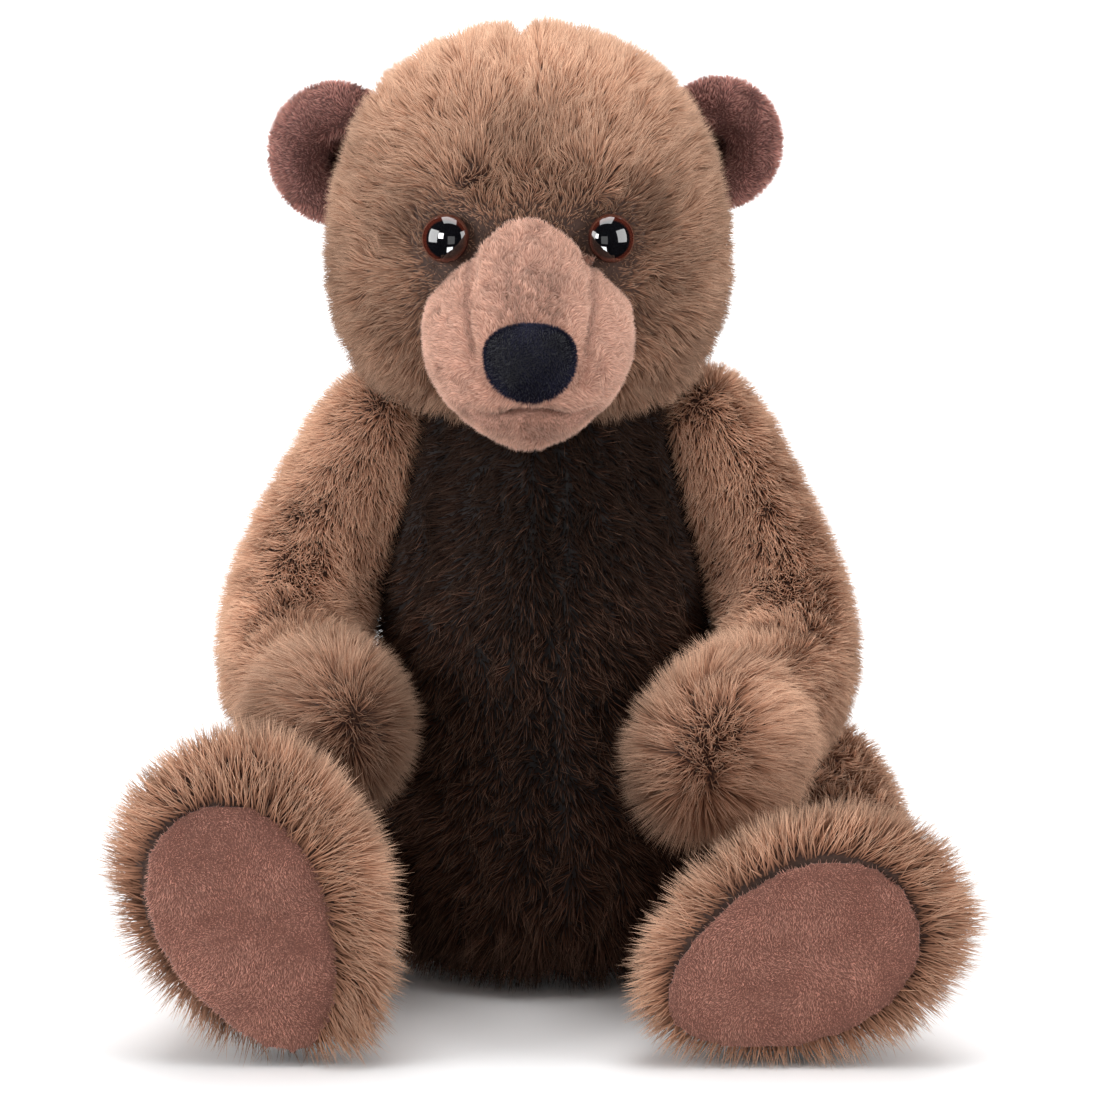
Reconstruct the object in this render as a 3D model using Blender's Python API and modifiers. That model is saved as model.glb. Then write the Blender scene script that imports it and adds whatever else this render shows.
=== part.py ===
"""Seated teddy bear with five disc joints: neck, two shoulders and two hips.

Metres, +Z up. The bear faces -Y and sits on Z = 0 with the torso's flat seat
centred near the origin, so its own right side is at -X. Each plush piece is a
thin skin over a stuffing core. A joint is a bolt through two fabric walls, with
a disc and a washer on each side and a nut inside the torso.
"""
import math

import bmesh
import bpy
from mathutils import Matrix, Vector

# ---------------------------------------------------------------- driving sizes
SKIN_WALL = 0.0020          # plush fabric backing plus its packed pile
MEETING_GAP = 0.0003        # between pieces that touch
STUFFING_INSET = SKIN_WALL + 0.0015
JOINT_GAP = 0.00025         # from a joint plane to the fabric on each side of it
RING_POINTS = 16            # points round a plush section
SIDES = {"right": -1.0, "left": 1.0}

# Torso sections: height, centre Y, half width, half depth
TORSO_SECTIONS = (
    (0.0000, 0.011, 0.0370, 0.0450),
    (0.0060, 0.009, 0.0490, 0.0580),
    (0.0200, 0.006, 0.0565, 0.0670),
    (0.0450, 0.006, 0.0600, 0.0680),
    (0.0750, 0.010, 0.0600, 0.0610),
    (0.1100, 0.012, 0.0570, 0.0560),
    (0.1400, 0.013, 0.0520, 0.0500),
    (0.1650, 0.014, 0.0460, 0.0430),
    (0.1820, 0.015, 0.0405, 0.0380),
    (0.1930, 0.016, 0.0350, 0.0340),
    (0.2050, 0.016, 0.0270, 0.0265),
)
TORSO_RINGS = 13

# Head sections, in the same order, round a centre line at HEAD_X
HEAD_X = -0.005
HEAD_SECTIONS = (
    (0.1720, -0.004, 0.0300, 0.0280),
    (0.1820, -0.004, 0.0460, 0.0430),
    (0.1950, -0.004, 0.0555, 0.0520),
    (0.2100, -0.004, 0.0615, 0.0565),
    (0.2240, -0.004, 0.0630, 0.0575),
    (0.2400, -0.003, 0.0620, 0.0570),
    (0.2560, -0.002, 0.0580, 0.0535),
    (0.2700, -0.001, 0.0520, 0.0480),
    (0.2820, 0.000, 0.0430, 0.0390),
    (0.2905, 0.000, 0.0310, 0.0280),
    (0.2970, 0.000, 0.0110, 0.0100),
)
HEAD_RINGS = 13

# Muzzle sections: distance forward (Y), centre Z, half width, half height
MUZZLE_SECTIONS = (
    (-0.0400, 0.2110, 0.0320, 0.0335),
    (-0.0620, 0.2100, 0.0328, 0.0345),
    (-0.0800, 0.2060, 0.0312, 0.0300),
    (-0.0950, 0.2015, 0.0270, 0.0245),
    (-0.1050, 0.1990, 0.0200, 0.0175),
    (-0.1100, 0.1980, 0.0090, 0.0080),
)
MUZZLE_RINGS = 8
MUZZLE_BRIDGE_TAPER = 0.3   # how much the top of a muzzle section narrows
BRIDGE_START = 0.30         # share of the half height where the narrowing starts
BRIDGE_BLEND = 0.35         # and over how much more it is complete
NOSE_CENTRE = Vector((-0.0043, -0.1040, 0.2018))
NOSE_RADII = (0.0145, 0.0125, 0.0128)

EYE_SPREAD = 0.0242         # from the head's centre line
EYE_HEIGHT = 0.2354
EYE_RADIUS = 0.0075
EYE_DOME_HEIGHT = 0.0050
EYE_STEM_RADIUS = 0.0018
EYE_STEM_LENGTH = 0.0095
EYE_WASHER_RADIUS = 0.0065
EYE_WASHER_THICKNESS = 0.0012
EYE_WASHER_GAP = 0.0020
EYE_POINTS = 14
EYE_SEAT_GAP = 0.0012       # from the curved head to the flat back of the eye

# Ears: centre, disc radius
EARS = {
    "right": (Vector((-0.0655, 0.0110, 0.2590)), 0.0235),
    "left": (Vector((0.0545, 0.0110, 0.2600)), 0.0220),
}
EAR_HALF_THICKNESS = 0.0055
EAR_CUP = 0.0080            # how far the rim stands forward of the middle
EAR_POINTS = 16
EAR_RINGS = 10
EAR_TURN = math.radians(16)  # the hollow looks forwards and a little outwards

# Limb sections: centre X (unsigned), Y, Z, half width, half height, roll, egg
ARM_SECTIONS = {
    "right": (
        (0.0475, 0.0140, 0.1895, 0.0060, 0.0080, 0, 0),
        (0.0485, 0.0140, 0.1840, 0.0150, 0.0175, 0, 0),
        (0.0520, 0.0140, 0.1700, 0.0215, 0.0235, 0, 0),
        (0.0605, 0.0130, 0.1500, 0.0240, 0.0255, 0, 0),
        (0.0720, 0.0090, 0.1280, 0.0240, 0.0260, 0, 0),
        (0.0785, -0.0030, 0.1095, 0.0240, 0.0265, 0, 0),
        (0.0780, -0.0240, 0.0970, 0.0240, 0.0250, 0, 0),
        (0.0715, -0.0460, 0.0915, 0.0235, 0.0245, 0, 0),
        (0.0640, -0.0670, 0.0890, 0.0225, 0.0240, 0, 0),
        (0.0605, -0.0830, 0.0870, 0.0180, 0.0200, 0, 0),
        (0.0595, -0.0920, 0.0865, 0.0080, 0.0095, 0, 0),
    ),
    "left": (
        (0.0460, 0.0140, 0.1895, 0.0060, 0.0080, 0, 0),
        (0.0470, 0.0140, 0.1840, 0.0145, 0.0175, 0, 0),
        (0.0505, 0.0140, 0.1700, 0.0205, 0.0235, 0, 0),
        (0.0585, 0.0130, 0.1500, 0.0225, 0.0255, 0, 0),
        (0.0690, 0.0090, 0.1280, 0.0225, 0.0260, 0, 0),
        (0.0750, -0.0020, 0.1090, 0.0235, 0.0265, 0, 0),
        (0.0740, -0.0230, 0.0960, 0.0235, 0.0250, 0, 0),
        (0.0655, -0.0450, 0.0890, 0.0230, 0.0245, 0, 0),
        (0.0540, -0.0650, 0.0855, 0.0220, 0.0245, 0, 0),
        (0.0475, -0.0805, 0.0835, 0.0180, 0.0200, 0, 0),
        (0.0450, -0.0895, 0.0825, 0.0080, 0.0095, 0, 0),
    ),
}
LEG_SECTIONS = {
    "right": (
        (0.0760, 0.0535, 0.0460, 0.0080, 0.0100, 0, 0),
        (0.0740, 0.0485, 0.0460, 0.0215, 0.0240, 0, 0),
        (0.0735, 0.0340, 0.0455, 0.0310, 0.0335, 0, 0),
        (0.0740, 0.0150, 0.0410, 0.0340, 0.0360, 0, 0),
        (0.0795, -0.0120, 0.0345, 0.0300, 0.0305, 0, 0),
        (0.0800, -0.0420, 0.0305, 0.0275, 0.0275, 0, 0),
        (0.0800, -0.0700, 0.0290, 0.0270, 0.0260, 8, 0.05),
        (0.0805, -0.0945, 0.0330, 0.0295, 0.0310, 16, 0.10),
        (0.0810, -0.1150, 0.0420, 0.0340, 0.0415, 25, 0.14),
        (0.0813, -0.1320, 0.0478, 0.0358, 0.0485, 25, 0.16),
        (0.0813, -0.1435, 0.0478, 0.0345, 0.0468, 25, 0.16),
    ),
    "left": (
        (0.0790, 0.0535, 0.0470, 0.0080, 0.0100, 0, 0),
        (0.0775, 0.0485, 0.0465, 0.0225, 0.0240, 0, 0),
        (0.0770, 0.0340, 0.0460, 0.0335, 0.0345, 0, 0),
        (0.0780, 0.0150, 0.0410, 0.0370, 0.0360, 0, 0),
        (0.0840, -0.0120, 0.0340, 0.0335, 0.0300, 0, 0),
        (0.0830, -0.0420, 0.0290, 0.0300, 0.0262, 0, 0),
        (0.0795, -0.0700, 0.0270, 0.0270, 0.0245, 25, 0.05),
        (0.0770, -0.0945, 0.0300, 0.0280, 0.0320, 50, 0.10),
        (0.0755, -0.1150, 0.0345, 0.0320, 0.0420, 66, 0.14),
        (0.0750, -0.1320, 0.0378, 0.0345, 0.0485, 66, 0.16),
        (0.0750, -0.1435, 0.0378, 0.0332, 0.0468, 66, 0.16),
    ),
}
ARM_RINGS = 14
LEG_RINGS = 14

FOOT_PAD_LONG = 0.0385
FOOT_PAD_SHORT = 0.0250
FOOT_PAD_EGG = 0.20
FOOT_PAD_THICKNESS = 0.0015
FOOT_PAD_SHIFT = {"right": (0.0045, -0.0035), "left": (-0.0030, -0.0030)}

# Joint planes: a point on the plane, its normal out of the torso, disc radius
ARM_TILT = math.radians(15)
HIP_YAW = math.radians(8)
NECK_TILT = math.radians(16)
SHOULDER = (0.0396, 0.013, 0.1660)
HIP = (0.0502, 0.0180, 0.0430)
NECK = (-0.002, 0.014, 0.1955)
SHOULDER_DISC_RADIUS = 0.0100
HIP_DISC_RADIUS = 0.0130
NECK_DISC_RADIUS = 0.0180
ARM_PRESS_REACH = 0.070     # how far round a joint the limb lies flat on the torso
LEG_PRESS_REACH = 0.056

# Joint hardware, along the joint axis from the plane
DISC_THICKNESS = 0.0020
WASHER_THICKNESS = 0.0010
WASHER_RADIUS = 0.0060
BOLT_RADIUS = 0.0020
BOLT_HOLE_RADIUS = 0.0026
BOLT_HEAD_RADIUS = 0.0040
BOLT_HEAD_HEIGHT = 0.0028
NUT_RADIUS = 0.0040
NUT_HEIGHT = 0.0032
BOLT_TAIL = 0.0015          # how far the thread stands past the nut
POCKET_CLEARANCE = 0.0008
DISC_POINTS = 16
WASHER_POINTS = 10
HEX_POINTS = 6
BOLT_POINTS = 10

BEAN_BAG_CENTRE = Vector((0.0, 0.018, 0.0135))
BEAN_BAG_RADII = (0.033, 0.033, 0.0100)

# ---------------------------------------------------------------- colours
FUR_BROWN = (0.190, 0.098, 0.060)
VELOUR_TAN = (0.420, 0.235, 0.170)
PAD_ROSE = (0.270, 0.125, 0.092)
EAR_BROWN = (0.190, 0.085, 0.070)
NOSE_BLACK = (0.018, 0.019, 0.028)
EYE_BLACK = (0.010, 0.008, 0.008)
PLASTIC_WHITE = (0.75, 0.75, 0.72)
FIBRE_WHITE = (0.85, 0.84, 0.80)
BOARD_TAN = (0.33, 0.20, 0.11)
STEEL_GREY = (0.52, 0.53, 0.55)
BAG_CREAM = (0.62, 0.58, 0.50)


# ---------------------------------------------------------------- scene helpers
def clear_scene():
    """Remove every object, so that the bear stands alone."""
    for old in list(bpy.data.objects):
        bpy.data.objects.remove(old, do_unlink=True)


def make_collection(name):
    group = bpy.data.collections.new(name)
    bpy.context.scene.collection.children.link(group)
    return group


def make_material(name, colour, roughness, metallic=0.0):
    material = bpy.data.materials.new(name)
    material.use_nodes = True
    shader = material.node_tree.nodes["Principled BSDF"]
    shader.inputs["Base Color"].default_value = (*colour, 1.0)
    shader.inputs["Roughness"].default_value = roughness
    shader.inputs["Metallic"].default_value = metallic
    material.diffuse_color = (*colour, 1.0)
    return material


def face_outwards(shape):
    """Turn every face of a closed form to point out of it."""
    bmesh.ops.recalc_face_normals(shape, faces=shape.faces)
    if shape.calc_volume(signed=True) < 0:
        bmesh.ops.reverse_faces(shape, faces=shape.faces)


def add_piece(name, shape, material, origin=None):
    """Put a bmesh into the scene as a smooth-shaded object of the bear."""
    mesh = bpy.data.meshes.new(name)
    face_outwards(shape)
    shape.to_mesh(mesh)
    shape.free()
    mesh.materials.append(material)
    mesh.shade_smooth()
    mesh.set_sharp_from_angle(angle=math.radians(40))
    piece = bpy.data.objects.new(name, mesh)
    if origin is not None:
        mesh.transform(Matrix.Translation(-origin))
        piece.location = origin
    BEAR.objects.link(piece)
    return piece


def add_cutter(name, shape):
    """Put a bmesh into the scene as a cutter, which is not a piece."""
    mesh = bpy.data.meshes.new(name)
    face_outwards(shape)
    shape.to_mesh(mesh)
    shape.free()
    cutter = bpy.data.objects.new(name, mesh)
    cutter.hide_render = True
    cutter.display_type = "WIRE"
    CUTTERS.objects.link(cutter)
    return cutter


def cut(piece, cutter):
    boolean = piece.modifiers.new("cut " + cutter.name, "BOOLEAN")
    boolean.operation = "DIFFERENCE"
    boolean.solver = "EXACT"
    boolean.object = cutter


def hollow(piece):
    """Give a closed plush form its fabric wall, measured inwards."""
    wall = piece.modifiers.new("fabric wall", "SOLIDIFY")
    wall.thickness = SKIN_WALL
    wall.offset = -1.0
    wall.use_even_offset = True


# ---------------------------------------------------------------- shapes
def between(stations, count):
    """Read evenly spaced rows from a smooth curve through the stations."""
    last = len(stations) - 1
    rows = []
    for step in range(count):
        place = step * last / (count - 1)
        start = min(int(place), last - 1)
        t = place - start
        before = stations[max(start - 1, 0)]
        after = stations[min(start + 2, last)]
        row = []
        for a, b, c, d in zip(before, stations[start], stations[start + 1], after):
            slope_b = (c - a) / 2
            slope_c = (d - b) / 2
            cubic = 2 * b - 2 * c + slope_b + slope_c
            square = 3 * c - 3 * b - 2 * slope_b - slope_c
            row.append(((cubic * t + square) * t + slope_b) * t + b)
        rows.append(tuple(row))
    return rows


def add_ring(shape, centre, across, up, outline):
    """Add one section's points, turned by the outline's own formula."""
    points = []
    for step in range(RING_POINTS):
        side, height = outline(2 * math.pi * (step + 0.5) / RING_POINTS)
        points.append(shape.verts.new(centre + across * side + up * height))
    return points


def loft(rings_of):
    """Join a list of equal rings into one closed form with flat ends."""
    shape = bmesh.new()
    rings = rings_of(shape)
    for low, high in zip(rings, rings[1:]):
        for step in range(RING_POINTS):
            after = (step + 1) % RING_POINTS
            shape.faces.new((low[step], low[after], high[after], high[step]))
    shape.faces.new(list(reversed(rings[0])))
    shape.faces.new(rings[-1])
    face_outwards(shape)
    return shape


def ellipse(half_width, half_height):
    return lambda angle: (half_width * math.cos(angle), half_height * math.sin(angle))


def bridge_outline(half_width, half_height, taper):
    """An ellipse that narrows to a flat-topped bridge above its middle."""
    def outline(angle):
        height = math.sin(angle)
        rise = min(1.0, max(0.0, (height - BRIDGE_START) / BRIDGE_BLEND))
        width = half_width * math.cos(angle) * (1 - taper * rise * rise * (3 - 2 * rise))
        return width, half_height * height
    return outline


def egg_outline(half_width, half_height, roll, egg):
    """An egg with its wide end up, leaning outwards by roll."""
    def outline(angle):
        up = half_height * math.sin(angle)
        out = half_width * math.cos(angle) * (1 + egg * math.sin(angle))
        return (out * math.cos(roll) + up * math.sin(roll),
                up * math.cos(roll) - out * math.sin(roll))
    return outline


def standing_form(sections, count, centre_x):
    """A form lofted upwards, such as the torso or the head."""
    def rings_of(shape):
        rings = []
        for height, centre_y, half_width, half_depth in between(sections, count):
            centre = Vector((centre_x, centre_y, height))
            rings.append(add_ring(shape, centre, Vector((1, 0, 0)), Vector((0, 1, 0)),
                                  ellipse(half_width, half_depth)))
        return rings
    return loft(rings_of)


def muzzle_form():
    def rings_of(shape):
        rings = []
        for forward, height, half_width, half_height in between(MUZZLE_SECTIONS, MUZZLE_RINGS):
            centre = Vector((HEAD_X, forward, height))
            outline = bridge_outline(half_width, half_height, MUZZLE_BRIDGE_TAPER)
            rings.append(add_ring(shape, centre, Vector((1, 0, 0)), Vector((0, 0, 1)), outline))
        return rings
    return loft(rings_of)


def limb_frames(sections, count, side):
    """Centre, direction, outward and upward axes and sizes along a limb."""
    rows = between(sections, count)
    centres = [Vector((side * row[0], row[1], row[2])) for row in rows]
    frames = []
    for step, row in enumerate(rows):
        ahead = centres[min(step + 1, count - 1)] - centres[max(step - 1, 0)]
        direction = ahead.normalized()
        out = Vector((side, 0, 0))
        out = (out - direction * out.dot(direction)).normalized()
        up = direction.cross(out).normalized() * side
        frames.append((centres[step], direction, out, up, row[3:]))
    return frames


def limb_form(sections, count, side):
    """An arm or a leg lofted along its own bent centre line."""
    def rings_of(shape):
        rings = []
        for centre, _, out, up, sizes in limb_frames(sections, count, side):
            half_width, half_height, roll, egg = sizes
            outline = egg_outline(half_width, half_height, math.radians(roll), egg)
            rings.append(add_ring(shape, centre, out, up, outline))
        return rings
    return loft(rings_of)


def press_flat(shape, point, normal, reach=None):
    """Press what crosses a plane back onto it, within reach of the point.

    The form keeps the side that the normal points away from.
    """
    for vertex in shape.verts:
        offset = vertex.co - point
        height = offset.dot(normal)
        near = reach is None or offset.length < reach
        if height > 0 and near:
            vertex.co -= normal * height


def keep_above_floor(shape):
    for vertex in shape.verts:
        vertex.co.z = max(vertex.co.z, 0.0)


def grown(shape, distance):
    """A copy of a form, moved out along its normals by an even distance."""
    copy = shape.copy()
    copy.normal_update()
    moves = [vertex.normal * vertex.calc_shell_factor() * distance for vertex in copy.verts]
    for vertex, move in zip(copy.verts, moves):
        vertex.co += move
    return copy


def axis_matrix(point, normal):
    """Places a shape built along +Z so that it stands on the point, along the normal."""
    return Matrix.Translation(point) @ normal.to_track_quat("Z", "Y").to_matrix().to_4x4()


def rod(point, normal, low, high, radius, sides):
    """A closed cylinder between two heights along an axis."""
    shape = bmesh.new()
    middle = Matrix.Translation((0, 0, (low + high) / 2))
    bmesh.ops.create_cone(shape, cap_ends=True, segments=sides, radius1=radius, radius2=radius,
                          depth=high - low, matrix=axis_matrix(point, normal) @ middle)
    return shape


def washer(point, normal, low, high, radius, hole, sides=DISC_POINTS):
    """A flat ring: a short tube with square edges, spun round the axis."""
    shape = bmesh.new()
    corners = [(hole, low), (radius, low), (radius, high), (hole, high)]
    points = [shape.verts.new((across, 0, height)) for across, height in corners]
    edges = [shape.edges.new((points[i], points[(i + 1) % 4])) for i in range(4)]
    bmesh.ops.spin(shape, geom=points + edges, axis=(0, 0, 1), cent=(0, 0, 0),
                   steps=sides, angle=2 * math.pi, use_merge=True)
    bmesh.ops.remove_doubles(shape, verts=shape.verts, dist=0.00001)
    shape.transform(axis_matrix(point, normal))
    return shape


# ---------------------------------------------------------------- joints
class Joint:
    """One disc joint: its plane, its hardware sizes and the cutters it needs."""

    def __init__(self, name, point, normal, disc_radius):
        self.name = name
        self.point = Vector(point)
        self.normal = Vector(normal).normalized()
        self.disc_radius = disc_radius
        self.disc_low = JOINT_GAP + SKIN_WALL + MEETING_GAP
        self.disc_high = self.disc_low + DISC_THICKNESS
        self.washer_low = self.disc_high + MEETING_GAP
        self.washer_high = self.washer_low + WASHER_THICKNESS
        self.end_low = self.washer_high + MEETING_GAP
        self.depth = self.end_low + NUT_HEIGHT + BOLT_TAIL + MEETING_GAP

    def build(self):
        """The disc and washer on each side, the bolt and its nut."""
        for side, label in ((-1, "inner"), (1, "outer")):
            away = self.normal * side
            disc = washer(self.point, away, self.disc_low, self.disc_high,
                          self.disc_radius, BOLT_HOLE_RADIUS)
            add_piece(f"{self.name}_{label}_disc", disc, BOARD, self.point)
            ring = washer(self.point, away, self.washer_low, self.washer_high,
                          WASHER_RADIUS, BOLT_HOLE_RADIUS, WASHER_POINTS)
            add_piece(f"{self.name}_{label}_washer", ring, STEEL, self.point)
        self.build_bolt()
        nut = washer(self.point, -self.normal, self.end_low, self.end_low + NUT_HEIGHT,
                     NUT_RADIUS, BOLT_HOLE_RADIUS, HEX_POINTS)
        add_piece(f"{self.name}_nut", nut, STEEL, self.point)

    def build_bolt(self):
        """A turned bolt: its head inside the limb, its thread through the nut."""
        tail = -(self.end_low + NUT_HEIGHT + BOLT_TAIL)
        head_top = self.end_low + BOLT_HEAD_HEIGHT
        shape = bmesh.new()
        corners = [(0, tail), (BOLT_RADIUS, tail), (BOLT_RADIUS, self.end_low),
                   (BOLT_HEAD_RADIUS, self.end_low), (BOLT_HEAD_RADIUS, head_top), (0, head_top)]
        points = [shape.verts.new((across, 0, height)) for across, height in corners]
        edges = [shape.edges.new(pair) for pair in zip(points, points[1:])]
        bmesh.ops.spin(shape, geom=points + edges, axis=(0, 0, 1), cent=(0, 0, 0),
                       steps=BOLT_POINTS, angle=2 * math.pi, use_merge=True)
        bmesh.ops.remove_doubles(shape, verts=shape.verts, dist=0.00001)
        shape.transform(axis_matrix(self.point, self.normal))
        add_piece(f"{self.name}_bolt", shape, STEEL, self.point)

    def bolt_hole(self):
        """A cutter for the bolt, through the fabric on both sides."""
        reach = self.disc_low
        shape = rod(self.point, self.normal, -reach, reach, BOLT_HOLE_RADIUS, BOLT_POINTS)
        return add_cutter(f"{self.name} bolt hole", shape)

    def pocket(self, side):
        """A cutter for the room that the hardware takes in the stuffing."""
        radius = self.disc_radius + POCKET_CLEARANCE
        shape = rod(self.point, self.normal * side, 0.0, self.depth, radius, DISC_POINTS)
        return add_cutter(f"{self.name} pocket {side}", shape)

    def press(self, shape, side, reach=None):
        """Press a plush form flat at the joint, on the torso (-1) or the limb (1)."""
        away = self.normal * -side
        press_flat(shape, self.point + self.normal * side * JOINT_GAP, away, reach)


def make_joints():
    joints = {"neck": Joint("neck", NECK, (0, -math.sin(NECK_TILT), math.cos(NECK_TILT)),
                            NECK_DISC_RADIUS)}
    for name, side in SIDES.items():
        shoulder_axis = (side * math.cos(ARM_TILT), 0, math.sin(ARM_TILT))
        hip_axis = (side * math.cos(HIP_YAW), math.sin(HIP_YAW), 0)
        joints[name + "_shoulder"] = Joint(
            name + "_shoulder", (side * SHOULDER[0], SHOULDER[1], SHOULDER[2]),
            shoulder_axis, SHOULDER_DISC_RADIUS)
        joints[name + "_hip"] = Joint(
            name + "_hip", (side * HIP[0], HIP[1], HIP[2]), hip_axis, HIP_DISC_RADIUS)
    return joints


# ---------------------------------------------------------------- sub-assemblies
def plush_pair(name, form, origin=None):
    """A hollow skin and the stuffing core that fills it, from one closed form."""
    core = grown(form, -STUFFING_INSET)
    skin = add_piece(f"{name}_skin", form, FUR, origin)
    hollow(skin)
    stuffing = add_piece(f"{name}_stuffing", core, FIBRE, origin)
    return skin, stuffing


def build_torso(joints):
    form = standing_form(TORSO_SECTIONS, TORSO_RINGS, 0.0)
    for joint in joints.values():
        joint.press(form, -1)
    skin, stuffing = plush_pair("torso", form)
    for joint in joints.values():
        cut(skin, joint.hole)
        cut(stuffing, joint.pocket(-1))
    room = bmesh.new()
    bmesh.ops.create_uvsphere(room, u_segments=RING_POINTS, v_segments=8, radius=1.0)
    beans = room.copy()
    scale_to(room, [radius + MEETING_GAP * 2 for radius in BEAN_BAG_RADII], BEAN_BAG_CENTRE)
    scale_to(beans, BEAN_BAG_RADII, BEAN_BAG_CENTRE)
    floor = SKIN_WALL + MEETING_GAP
    for vertex in beans.verts:
        vertex.co.z = max(vertex.co.z, floor)
    cut(stuffing, add_cutter("bean bag room", room))
    tunnel = rod(Vector((0, BEAN_BAG_CENTRE.y, 0)), Vector((0, 0, 1)), -0.001,
                 BEAN_BAG_CENTRE.z, BEAN_BAG_RADII[0] * 0.9, RING_POINTS)
    cut(stuffing, add_cutter("bean bag mouth", tunnel))
    add_piece("bean_bag", beans, BAG)


def scale_to(shape, radii, centre):
    for vertex in shape.verts:
        place = Vector((vertex.co.x * radii[0], vertex.co.y * radii[1], vertex.co.z * radii[2]))
        vertex.co = place + centre


def head_front(across, height):
    """The point on the head's front, at a distance across and a height."""
    rows = between(HEAD_SECTIONS, 200)
    row = min(rows, key=lambda candidate: abs(candidate[0] - height))
    _, centre_y, half_width, half_depth = row
    depth = half_depth * math.sqrt(1 - (across / half_width) ** 2)
    return Vector((HEAD_X + across, centre_y - depth, height))


def build_eye(name, side, head_skin, head_stuffing):
    """A domed eye on a stem, held by a washer inside the head."""
    across = side * EYE_SPREAD
    face = head_front(across, EYE_HEIGHT)
    sideways = head_front(across + EYE_RADIUS / 2, EYE_HEIGHT) - face
    upwards = head_front(across, EYE_HEIGHT + EYE_RADIUS / 2) - face
    outward = sideways.cross(upwards).normalized()
    seat = face + outward * (MEETING_GAP + EYE_SEAT_GAP)
    dome = bmesh.new()
    rows = [(0, -EYE_STEM_LENGTH), (EYE_STEM_RADIUS, -EYE_STEM_LENGTH), (EYE_STEM_RADIUS, 0)]
    for step in range(6):
        angle = math.pi / 2 * step / 5
        rows.append((EYE_RADIUS * math.cos(angle), 0.0006 + EYE_DOME_HEIGHT * math.sin(angle)))
    rows.insert(3, (EYE_RADIUS, 0.0))
    rows[-1] = (0, rows[-1][1])
    points = [dome.verts.new((across, 0, height)) for across, height in rows]
    edges = [dome.edges.new(pair) for pair in zip(points, points[1:])]
    bmesh.ops.spin(dome, geom=points + edges, axis=(0, 0, 1), cent=(0, 0, 0),
                   steps=EYE_POINTS, angle=2 * math.pi, use_merge=True)
    bmesh.ops.remove_doubles(dome, verts=dome.verts, dist=0.00001)
    dome.transform(axis_matrix(seat, outward))
    add_piece(f"{name}_eye", dome, EYE)
    depth = EYE_SEAT_GAP + MEETING_GAP + SKIN_WALL + EYE_WASHER_GAP
    ring = washer(seat, -outward, depth, depth + EYE_WASHER_THICKNESS,
                  EYE_WASHER_RADIUS, EYE_STEM_RADIUS + MEETING_GAP * 2, EYE_POINTS)
    add_piece(f"{name}_eye_washer", ring, PLASTIC)
    hole = rod(seat, outward, -depth, 0.003, EYE_STEM_RADIUS + MEETING_GAP * 2, EYE_POINTS)
    cut(head_skin, add_cutter(f"{name} eye hole", hole))
    pocket = rod(seat, -outward, -0.001, EYE_STEM_LENGTH + 0.001,
                 EYE_WASHER_RADIUS + POCKET_CLEARANCE, EYE_POINTS)
    cut(head_stuffing, add_cutter(f"{name} eye pocket", pocket))


def build_ear(name, side, head_room):
    """A cupped ear: a thick disc whose rim curls forward, sewn to the head."""
    centre, radius = EARS[name]
    ear = bmesh.new()
    bmesh.ops.create_uvsphere(ear, u_segments=EAR_POINTS, v_segments=EAR_RINGS, radius=1.0)
    for vertex in ear.verts:
        reach = math.hypot(vertex.co.x, vertex.co.y)
        height = EAR_HALF_THICKNESS * vertex.co.z + EAR_CUP * (reach * reach - 0.5)
        vertex.co = Vector((vertex.co.x * radius, vertex.co.y * radius, height))
    turn = Matrix.Rotation(side * EAR_TURN, 4, "Z")
    stand = Matrix.Rotation(math.radians(90), 4, "X")
    ear.transform(Matrix.Translation(centre) @ turn @ stand)
    cut(add_piece(f"{name}_ear", ear, EAR), head_room)


def build_head(joint):
    form = standing_form(HEAD_SECTIONS, HEAD_RINGS, HEAD_X)
    joint.press(form, 1)
    head_room = add_cutter("head room", grown(form, MEETING_GAP))
    skin, stuffing = plush_pair("head", form, joint.point)
    cut(skin, joint.hole)
    cut(stuffing, joint.pocket(1))
    for name, side in SIDES.items():
        build_eye(name, side, skin, stuffing)
        build_ear(name, side, head_room)
    build_muzzle(head_room)


def build_muzzle(head_room):
    """The short-pile muzzle with its own stuffing, and the padded nose."""
    form = muzzle_form()
    core = grown(form, -STUFFING_INSET)
    inside = add_cutter("muzzle inside", grown(form, -SKIN_WALL))
    muzzle_room = add_cutter("muzzle room", grown(form, MEETING_GAP))
    skin = add_piece("muzzle_skin", form, VELOUR)
    cut(skin, inside)
    cut(skin, head_room)
    stuffing = add_piece("muzzle_stuffing", core, FIBRE)
    cut(stuffing, head_room)
    nose = bmesh.new()
    bmesh.ops.create_uvsphere(nose, u_segments=16, v_segments=10, radius=1.0)
    scale_to(nose, NOSE_RADII, NOSE_CENTRE)
    piece = add_piece("nose", nose, NOSE)
    cut(piece, muzzle_room)


def build_arm(name, side, joint):
    form = limb_form(ARM_SECTIONS[name], ARM_RINGS, side)
    joint.press(form, 1, ARM_PRESS_REACH)
    skin, stuffing = plush_pair(name + "_arm", form, joint.point)
    cut(skin, joint.hole)
    cut(stuffing, joint.pocket(1))


def build_leg(name, side, joint):
    form = limb_form(LEG_SECTIONS[name], LEG_RINGS, side)
    joint.press(form, 1, LEG_PRESS_REACH)
    keep_above_floor(form)
    skin, stuffing = plush_pair(name + "_leg", form, joint.point)
    cut(skin, joint.hole)
    cut(stuffing, joint.pocket(1))
    build_foot_pad(name, side)


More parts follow.
